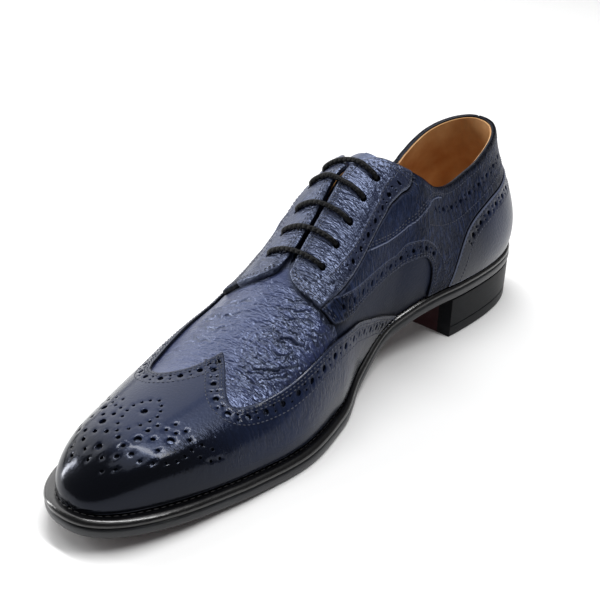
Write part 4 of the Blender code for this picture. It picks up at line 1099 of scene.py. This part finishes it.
# tongue
tongue = {"thick": 1.8, "first": 119.0, "last": 198.0, "across": 40, "dark": 0.25}
tongueRidge = [(119, 106.3), (124, 104.7), (128, 102.9), (134, 100.0)]
tongueHalf = [(119, 14.0), (122, 20.0), (126, 23.5), (150, 24.0), (180, 20.0), (198, 15.0)]
tongueDepth = [(119, 2.2), (124, 2.6), (129, 4.4), (136, 5.4), (168, 5.4), (180, 2.6), (198, 2.1)]
tongueQ = np.linspace(tongue["first"], tongue["last"], 60)
layers = []
for deeper in (0.0, tongue["thick"]):
    grid = []
    for q in tongueQ:
        on = max(q, last["ridgeStart"])
        across = np.linspace(1, -1, tongue["across"]) * tableCurve(tongueHalf, 1, q)
        points = np.zeros((len(across), 3))
        for side in (1, -1):
            m = (across >= 0) if side > 0 else (across < 0)
            v = shareUp(np.full(m.sum(), on), side, -np.maximum(np.abs(across[m]), 0.001))
            points[m] = skinAt(on, v, side, np.full(m.sum(), -tableCurve(tongueDepth, 1, q) - deeper))
        if q < on:  # past the closed ridge the tongue goes on up by its own curve
            points += np.array([0, q - on, tableCurve(tongueRidge, 1, q) - tongueRidge[-1][1]])
        grid.append(points)
    layers.append(np.array(grid))
rows, columns = len(tongueQ), tongue["across"]
verts = toWorld(np.concatenate([g.reshape(-1, 3) for g in layers]))
faces = []
for layer in (0, 1):
    for r in range(rows - 1):
        for k in range(columns - 1):
            a = layer * rows * columns + r * columns + k
            face = (a, a + 1, a + columns + 1, a + columns)
            faces.append(face if layer else (a, *face[:0:-1]))
rim = [r * columns for r in range(rows)] + [(rows - 1) * columns + k for k in range(1, columns)]
rim += [r * columns + columns - 1 for r in range(rows - 2, -1, -1)] + list(range(columns - 2, 0, -1))
for a, b in zip(rim, rim[1:] + rim[:1]):
    faces.append((a, b, b + rows * columns, a + rows * columns))
tonguePiece = turnOutward(addObject("tongueFlap", verts, faces, [shrunkenCalf],
                                    {"burnishAndShade": np.full(len(verts), tongue["dark"])}))
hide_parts("tongue")
pieces.append((tonguePiece, "navy_grain"))
print("tongue done")

# lace
lace = {
    "radius": 1.2, "over": 3.4, "under": -3.3, "through": (2.9, 1.6, 0.0, -1.6, -2.8), "bow": 1.2, "sides": 14,
    "step": 0.8, "braidMm": 2.6, "braidAlong": 0.6, "braidRound": 1.2,
}


def eyeletPoint(k, side, height):
    q = rowStation(k)
    return skinAt(q, eyeletShare(q, side, eyestay["reach"]), side, height)


def barPoints(k, side):  # over the facings, from one eyelet to the other
    q, points = rowStation(k), []
    t = np.linspace(0.1, 1, 6)
    bowed = q - lace["bow"] * (1 - (1 - t) ** 2) * 0.5
    for s in (side, -side):
        v0 = eyeletShare(q, s, eyestay["reach"])
        v1 = slotShare(q, s, slotRows)[0]
        half = skinAt(bowed, v0 + (v1 - v0) * t, s, np.full(6, lace["over"]))
        points.append(half if s == side else half[::-1])
    return np.vstack(points)


def throughPoints(k, side, down):
    return np.array([eyeletPoint(k, side, h) for h in lace["through"][::1 if down else -1]])


def underPoints(k0, k1, side, shiftIn):  # beneath the facings, from one row to another
    out = []
    for t in np.linspace(0.12, 0.88, 5):
        q = rowStation(k0 + (k1 - k0) * t)
        v = eyeletShare(q, side, eyestay["reach"] + shiftIn * math.sin(math.pi * t))
        out.append(skinAt(q, v, side, lace["under"]))
    return np.array(out)


route = [  # what the lace does, from one hidden end to the other; rows count from the toe
    ("under", 4, 3, 1, 3.2), ("up", 3, 1), ("bar", 3, 1), ("down", 3, -1), ("under", 3, 1, -1, 3.2),
    ("up", 1, -1), ("bar", 1, -1), ("down", 1, 1), ("under", 1, 0, 1, 0), ("up", 0, 1), ("bar", 0, 1),
    ("down", 0, -1), ("under", 0, 2, -1, -3.2), ("up", 2, -1), ("bar", 2, -1), ("down", 2, 1),
    ("under", 2, 4, 1, -3.2), ("up", 4, 1), ("bar", 4, 1), ("down", 4, -1),
]
path = []
for step in route:
    if step[0] == "bar":
        path.append(barPoints(step[1], step[2]))
    elif step[0] == "under":
        path.append(underPoints(*step[1:]))
    else:
        path.append(throughPoints(step[1], step[2], step[0] == "down"))
path = np.vstack(path)


def smoothPath(points, step):  # soft bends and even spacing
    points = points.copy()
    for _ in range(2):
        points[1:-1] = points[1:-1] * 0.6 + (points[:-2] + points[2:]) * 0.2
    run = runOf(points)
    keep = np.concatenate([[True], np.diff(run) > 1e-6])
    points, run = points[keep], run[keep]
    at = np.linspace(0, run[-1], int(run[-1] / step))
    coarse = np.stack([np.interp(at, run, points[:, k]) for k in range(3)], 1)
    for _ in range(3):
        coarse[1:-1] = coarse[1:-1] * 0.5 + (coarse[:-2] + coarse[2:]) * 0.25
    return coarse


def tubePiece(name, points, radius, sides, finish):
    tangent = unit(np.gradient(points, axis=0))
    normal = np.zeros_like(points)
    first = np.cross(tangent[0], (0.3, 0.2, 0.9))
    normal[0] = first / np.linalg.norm(first)
    for k in range(1, len(points)):
        n = normal[k - 1] - tangent[k] * (normal[k - 1] @ tangent[k])
        normal[k] = n / np.linalg.norm(n)
    second = np.cross(tangent, normal)
    turn = np.linspace(0, 2 * math.pi, sides, endpoint=False)[None, :, None]
    rings = points[:, None] + radius * (np.cos(turn) * normal[:, None] + np.sin(turn) * second[:, None])
    verts = np.vstack([rings.reshape(-1, 3), points[:1], points[-1:]])
    faces = []
    for r in range(len(points) - 1):
        for k in range(sides):
            a, b = r * sides + k, r * sides + (k + 1) % sides
            faces.append((a, b, b + sides, a + sides))
    end = len(points) * sides
    final = end - sides
    faces += [(end, (k + 1) % sides, k) for k in range(sides)]
    faces += [(end + 1, final + k, final + (k + 1) % sides) for k in range(sides)]
    piece = addObject(name, toWorld(verts), [f[::-1] for f in faces], [finish])
    run = runOf(points)
    uv = piece.data.uv_layers.new(name="braid")
    for poly in piece.data.polygons:
        columnsHere = [piece.data.loops[k].vertex_index % sides for k in poly.loop_indices]
        wrapped = 0 in columnsHere and sides - 1 in columnsHere
        for k in poly.loop_indices:
            index = piece.data.loops[k].vertex_index
            r, c = (min(index // sides, len(points) - 1), index % sides)
            around = (c + (sides if wrapped and c == 0 else 0)) / sides
            uv.data[k].uv = (run[r] / lace["braidMm"] * lace["braidAlong"], around * lace["braidRound"])
    return piece


lacePiece = tubePiece("lace", smoothPath(path, lace["step"]), lace["radius"], lace["sides"], waxedLace)
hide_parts(*["lace_bar_%d" % k for k in range(1, 6)])
pieces.append((lacePiece, "lace"))
print("lace done")

# bottom: welt, outsole, heel, insole
bottom = {"heelSteps": 26, "midSteps": 70, "toeSteps": 30, "crisp": 38, "groove": 0.7, "insoleGap": 0.8}


def edgeStations():
    heelRun, toeRun = last["heelRound"][0], last["toeRound"][0]
    back = heelRun * (1 - np.cos(np.linspace(0, 1, bottom["heelSteps"]) * math.pi / 2))
    front = last["length"] - toeRun * (1 - np.sin(np.linspace(0, 1, bottom["toeSteps"]) * math.pi / 2))
    middle = np.linspace(back[-1], front[0], bottom["midSteps"])[1:-1]
    return np.concatenate([back, middle, front]) / last["length"]


def bothSides(y, z, *outline):
    return [np.stack([side * outlineWidth(y, side, *outline), y, z], 1) for side in (1, -1)]


def edgeLoop(height, ledge=0.0, inset=0.0, start=0.0, end=last["length"]):
    y = start + (end - start) * edgeStations()
    medial, lateral = bothSides(y, soleHeight(y) + height, ledge, inset, start, end)
    return np.vstack([medial, lateral[-2:0:-1]])


def ringFaces(count, loops, around):
    faces = []
    for r in range(loops if around else loops - 1):
        for k in range(count):
            a, b = r * count + k, r * count + (k + 1) % count
            c, d = ((r + 1) % loops) * count + (k + 1) % count, ((r + 1) % loops) * count + k
            faces.append((a, b, c, d))
    return faces


def capFaces(base, count):
    strips = [(i, i + 1, count - i - 1, count - i) for i in range(count // 2)]
    return [tuple(dict.fromkeys(base + k % count for k in strip)) for strip in strips]


def crispPiece(name, loops, faces, materials, slotOf=None):
    piece = turnOutward(addObject(name, toWorld(np.vstack(loops)), faces, materials), slotOf)
    piece.data.shade_smooth()
    piece.data.set_sharp_from_angle(angle=math.radians(bottom["crisp"]))
    return piece


def loopPiece(name, loops, materials, around=False, slotOf=None):
    count = len(loops[0])
    faces = ringFaces(count, len(loops), around)
    if not around:
        faces += capFaces(0, count) + capFaces((len(loops) - 1) * count, count)
    return crispPiece(name, loops, faces, materials, slotOf)


def isPainted(f):  # the underside of the sole, not its rim
    return int(f.normal.z < -0.75 and f.calc_area() > 0.00002)


# rims as inset and height, in millimetres
seat, wallInset = last["outsole"] + last["gap"], last["wall"]
weltRim = [(0.9, 0.0), (0.3, 0.15), (0.05, 0.5), (0.0, 0.9), (0.08, 1.35), (0.3, 1.85), (0.65, 2.3), (1.1, 2.65),
           (1.6, 2.88), (2.1, 2.97)]
weltLoops = [edgeLoop(seat + h, 0, i, i, last["length"] - i) for i, h in weltRim]
for part, h in ((0.6, 2.99), (bottom["groove"], 2.9), (0.8, 2.99)):  # a shallow groove for the stitches
    weltLoops.append(edgeLoop(seat + h, part, 1 - part, last["heelInset"] * part,
                              last["length"] - last["toeInset"] * part))
weltLoops += [edgeLoop(seat + h, 1.0, wallInset, last["heelInset"] + wallInset, tip - wallInset)
              for h in (3.0, 0.0)]
weltPiece = loopPiece("weltStrip", weltLoops, [weltInk], True)
soleRim = [(1.4, 0.0), (0.7, 0.25), (0.3, 0.7), (0.08, 1.4), (0.0, 2.3), (0.05, 3.2), (0.25, 3.95), (0.6, 4.45),
           (1.1, 4.7)]
solePiece = loopPiece("leatherSole", [edgeLoop(h, 0, i, i, last["length"] - i) for i, h in soleRim],
                      [soleInk, oxbloodPaint], False, isPainted)
clear = wallInset + bottom["insoleGap"]
insolePiece = loopPiece("insoleSock", [edgeLoop(h, 1.0, clear + i, last["heelInset"] + clear + i, tip - clear - i)
                                       for i, h in ((0, seat), (0, 7.6), (0.5, 8.2))], [tanLining])
heel = {"breast": 81.0, "hollow": 2.5, "taper": 0.8, "steps": 26, "lift": 6.0,
        "paintAt": 0.0065, "paintHalf": 0.026}  # the painted width of the breast, in metres
heelTop, taper, lift = last["heelHeight"] - last["gap"], heel["taper"], heel["lift"]
heelProfile = [(taper + 0.9, 0.0), (taper + 0.3, 0.35), (taper + 0.05, 1.0), (taper, lift - 0.35),
               (taper + 0.3, lift - 0.1), (taper + 0.3, lift + 0.1), (taper - 0.05, lift + 0.35),
               (0.35, heelTop - 0.7), (0.45, heelTop - 0.2), (0.8, heelTop)]
heelLoops = []
for inset, h in heelProfile:
    y = inset + (heel["breast"] - inset) * (1 - np.cos(np.linspace(0, 1, heel["steps"]) * math.pi / 2))
    medial, lateral = bothSides(y, np.full(len(y), h), 0, inset, inset)
    t = np.linspace(0, 1, 18)[1:-1]
    breast = medial[-1] + (lateral[-1] - medial[-1]) * t[:, None]
    breast[:, 1] = heel["breast"] - heel["hollow"] * np.sin(t * math.pi)
    heelLoops.append(np.vstack([medial, breast, lateral[:0:-1]]))
count, loopCount = len(heelLoops[0]), len(heelLoops)
heelFaces = ringFaces(count, loopCount, False)
heelFaces += [tuple(range(count)), tuple(range((loopCount - 1) * count, loopCount * count))]


def isBreast(f):  # the painted front of the heel
    return int(f.normal.y < -0.8 and abs(f.calc_center_median().x - heel["paintAt"]) < heel["paintHalf"])


heelPiece = crispPiece("heelStack", heelLoops, heelFaces, [heelInk, oxbloodPaint], isBreast)
for piece, node, slotName in ((weltPiece, "welt", "welt_edge"), (solePiece, "outsole", "sole_edge"),
                              (insolePiece, "insole", "lining"), (heelPiece, "heel", "sole_edge")):
    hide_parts(node)
    pieces.append((piece, slotName))
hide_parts("wing_cap")
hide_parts("heel_counter")
pieces += [(wingCap, "burnished"), (heelCounter, "burnished")]
print("bottom done")


# stitches: one small tree lays thread along lines
def stitchTree(finish):
    tree = bpy.data.node_groups.new("stitches", "GeometryNodeTree")
    tree.interface.new_socket("Geometry", in_out="INPUT", socket_type="NodeSocketGeometry")
    for name, value in (("Pitch", 0.0022), ("Stitch length", 0.0015), ("Thread radius", 0.00028)):
        socket = tree.interface.new_socket(name, in_out="INPUT", socket_type="NodeSocketFloat")
        socket.default_value = value
    tree.interface.new_socket("Geometry", in_out="OUTPUT", socket_type="NodeSocketGeometry")
    given = tree.nodes.new("NodeGroupInput")
    curve = addNode(tree, "GeometryNodeMeshToCurve", None, {"Mesh": given.outputs["Geometry"]})
    even = addNode(tree, "GeometryNodeResampleCurve", {"mode": "LENGTH"},
                   {"Curve": curve.outputs[0], "Length": given.outputs["Pitch"]})
    ball = addNode(tree, "GeometryNodeMeshUVSphere", {"Segments": 6, "Rings": 5, "Radius": 1.0})
    half = addNode(tree, "ShaderNodeMath", {"operation": "MULTIPLY", 1: 0.5}, {0: given.outputs["Stitch length"]})
    thick = given.outputs["Thread radius"]
    size = addNode(tree, "ShaderNodeCombineXYZ", None, {"X": thick, "Y": thick, "Z": half.outputs[0]})
    shape = addNode(tree, "GeometryNodeTransform", None,
                    {"Geometry": ball.outputs["Mesh"], "Scale": size.outputs[0]})
    tangent = addNode(tree, "GeometryNodeInputTangent")
    turn = addNode(tree, "FunctionNodeAlignRotationToVector", {"axis": "Z"}, {"Vector": tangent.outputs[0]})
    laid = addNode(tree, "GeometryNodeInstanceOnPoints", None,
                   {"Points": even.outputs[0], "Instance": shape.outputs[0], "Rotation": turn.outputs[0]})
    real = addNode(tree, "GeometryNodeRealizeInstances", None, {"Geometry": laid.outputs[0]})
    dyed = addNode(tree, "GeometryNodeSetMaterial", {"Material": finish}, {"Geometry": real.outputs[0]})
    out = tree.nodes.new("NodeGroupOutput")
    tree.links.new(dyed.outputs[0], out.inputs["Geometry"])
    return tree


def sewn(name, lines, finish, values):
    verts, edges = [], []
    for points in lines:
        base = len(verts)
        verts += [tuple(p) for p in points]
        edges += [(base + k, base + k + 1) for k in range(len(points) - 1)]
    guide = bpy.data.meshes.new(name + "Guide")
    guide.from_pydata(verts, edges, [])
    holder = placed(name + "Guide", guide)
    modifier = holder.modifiers.new("stitches", "NODES")
    tree = stitchTree(finish)
    modifier.node_group = tree
    for socket in tree.interface.items_tree:
        if socket.in_out == "INPUT" and socket.name in values:
            modifier[socket.identifier] = values[socket.name]
    ready = holder.evaluated_get(bpy.context.evaluated_depsgraph_get())
    mesh = bpy.data.meshes.new_from_object(ready)
    mesh.name = name
    mesh.shade_smooth()
    bpy.data.objects.remove(holder)
    return placed(name, mesh)


upperStitches = sewn("upperStitches", stitchLines, upperThread,
                     {"Pitch": 0.0021, "Stitch length": 0.0014, "Thread radius": 0.00026})
groove = bottom["groove"]
weltLine = edgeLoop(seat + 2.92, groove, 1 - groove, last["heelInset"] * groove,
                    last["length"] - last["toeInset"] * groove)
weltStitches = sewn("weltStitches", [toWorld(np.vstack([weltLine, weltLine[:1]]))], weltThread,
                    {"Pitch": 0.0031, "Stitch length": 0.0024, "Thread radius": 0.00026})
pieces += [(upperStitches, "navy_grain"), (weltStitches, "welt_edge")]
print("stitches done", len(upperStitches.data.polygons))

for piece, slotName in pieces:
    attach(piece, "root")

# floor, light, camera
studio = {"floor": "#f6f6f6", "sky": 0.15,
          "camera": (267.9, -341.0, 274.1), "aim": (2.0, -4.0, 42.0), "lens": 63.0}  # millimetres
floorMesh = bpy.data.meshes.new("floor")
floorMesh.from_pydata([(-3, -3, 0), (3, -3, 0), (3, 3, 0), (-3, 3, 0)], [], [(0, 1, 2, 3)])
floor = placed("floor", floorMesh)
paper, tree, shader, place = newMaterial("whitePaperSweep")
shader.inputs["Base Color"].default_value = srgb(studio["floor"])
shader.inputs["Roughness"].default_value = 0.6
floorMesh.materials.append(paper)
world = bpy.data.worlds.new("softStudio")
bpy.context.scene.world = world
world.use_nodes = True
world.node_tree.nodes["Background"].inputs["Color"].default_value = (1, 1, 1, 1)
world.node_tree.nodes["Background"].inputs["Strength"].default_value = studio["sky"]
lights = {  # place, aim, width, height, watts
    "softboxOverhead": ((0.1, 0.0, 1.3), (0, 0, 0), 1.15, 1.05, 5.5),
    "stripCeiling": ((0.2, 0.16, 1.28), (0.2, 0.16, 0), 1.5, 0.12, 14.5),
    "panelLeft": ((-1.05, 0.38, 0.75), (0, 0, 0.05), 1.6, 1.3, 11.5),
    "stripLeft": ((-0.89, -0.44, 0.3), (0, -0.12, 0.03), 0.1, 0.56, 4.2),
}
for name, (at, aim, wide, tall, power) in lights.items():
    data = bpy.data.lights.new(name, "AREA")
    data.shape = "RECTANGLE"
    data.size, data.size_y, data.energy = wide, tall, power
    lamp = aimed(placed(name, data), at, aim)
    lamp.visible_camera = False
cameraData = bpy.data.cameras.new("camera")
camera = aimed(placed("camera", cameraData), Vector(studio["camera"]) * 0.001, Vector(studio["aim"]) * 0.001)
cameraData.lens = studio["lens"]
cameraData.clip_start, cameraData.clip_end = 0.01, 20
bpy.context.scene.camera = camera
bpy.context.scene.view_settings.view_transform = "Standard"
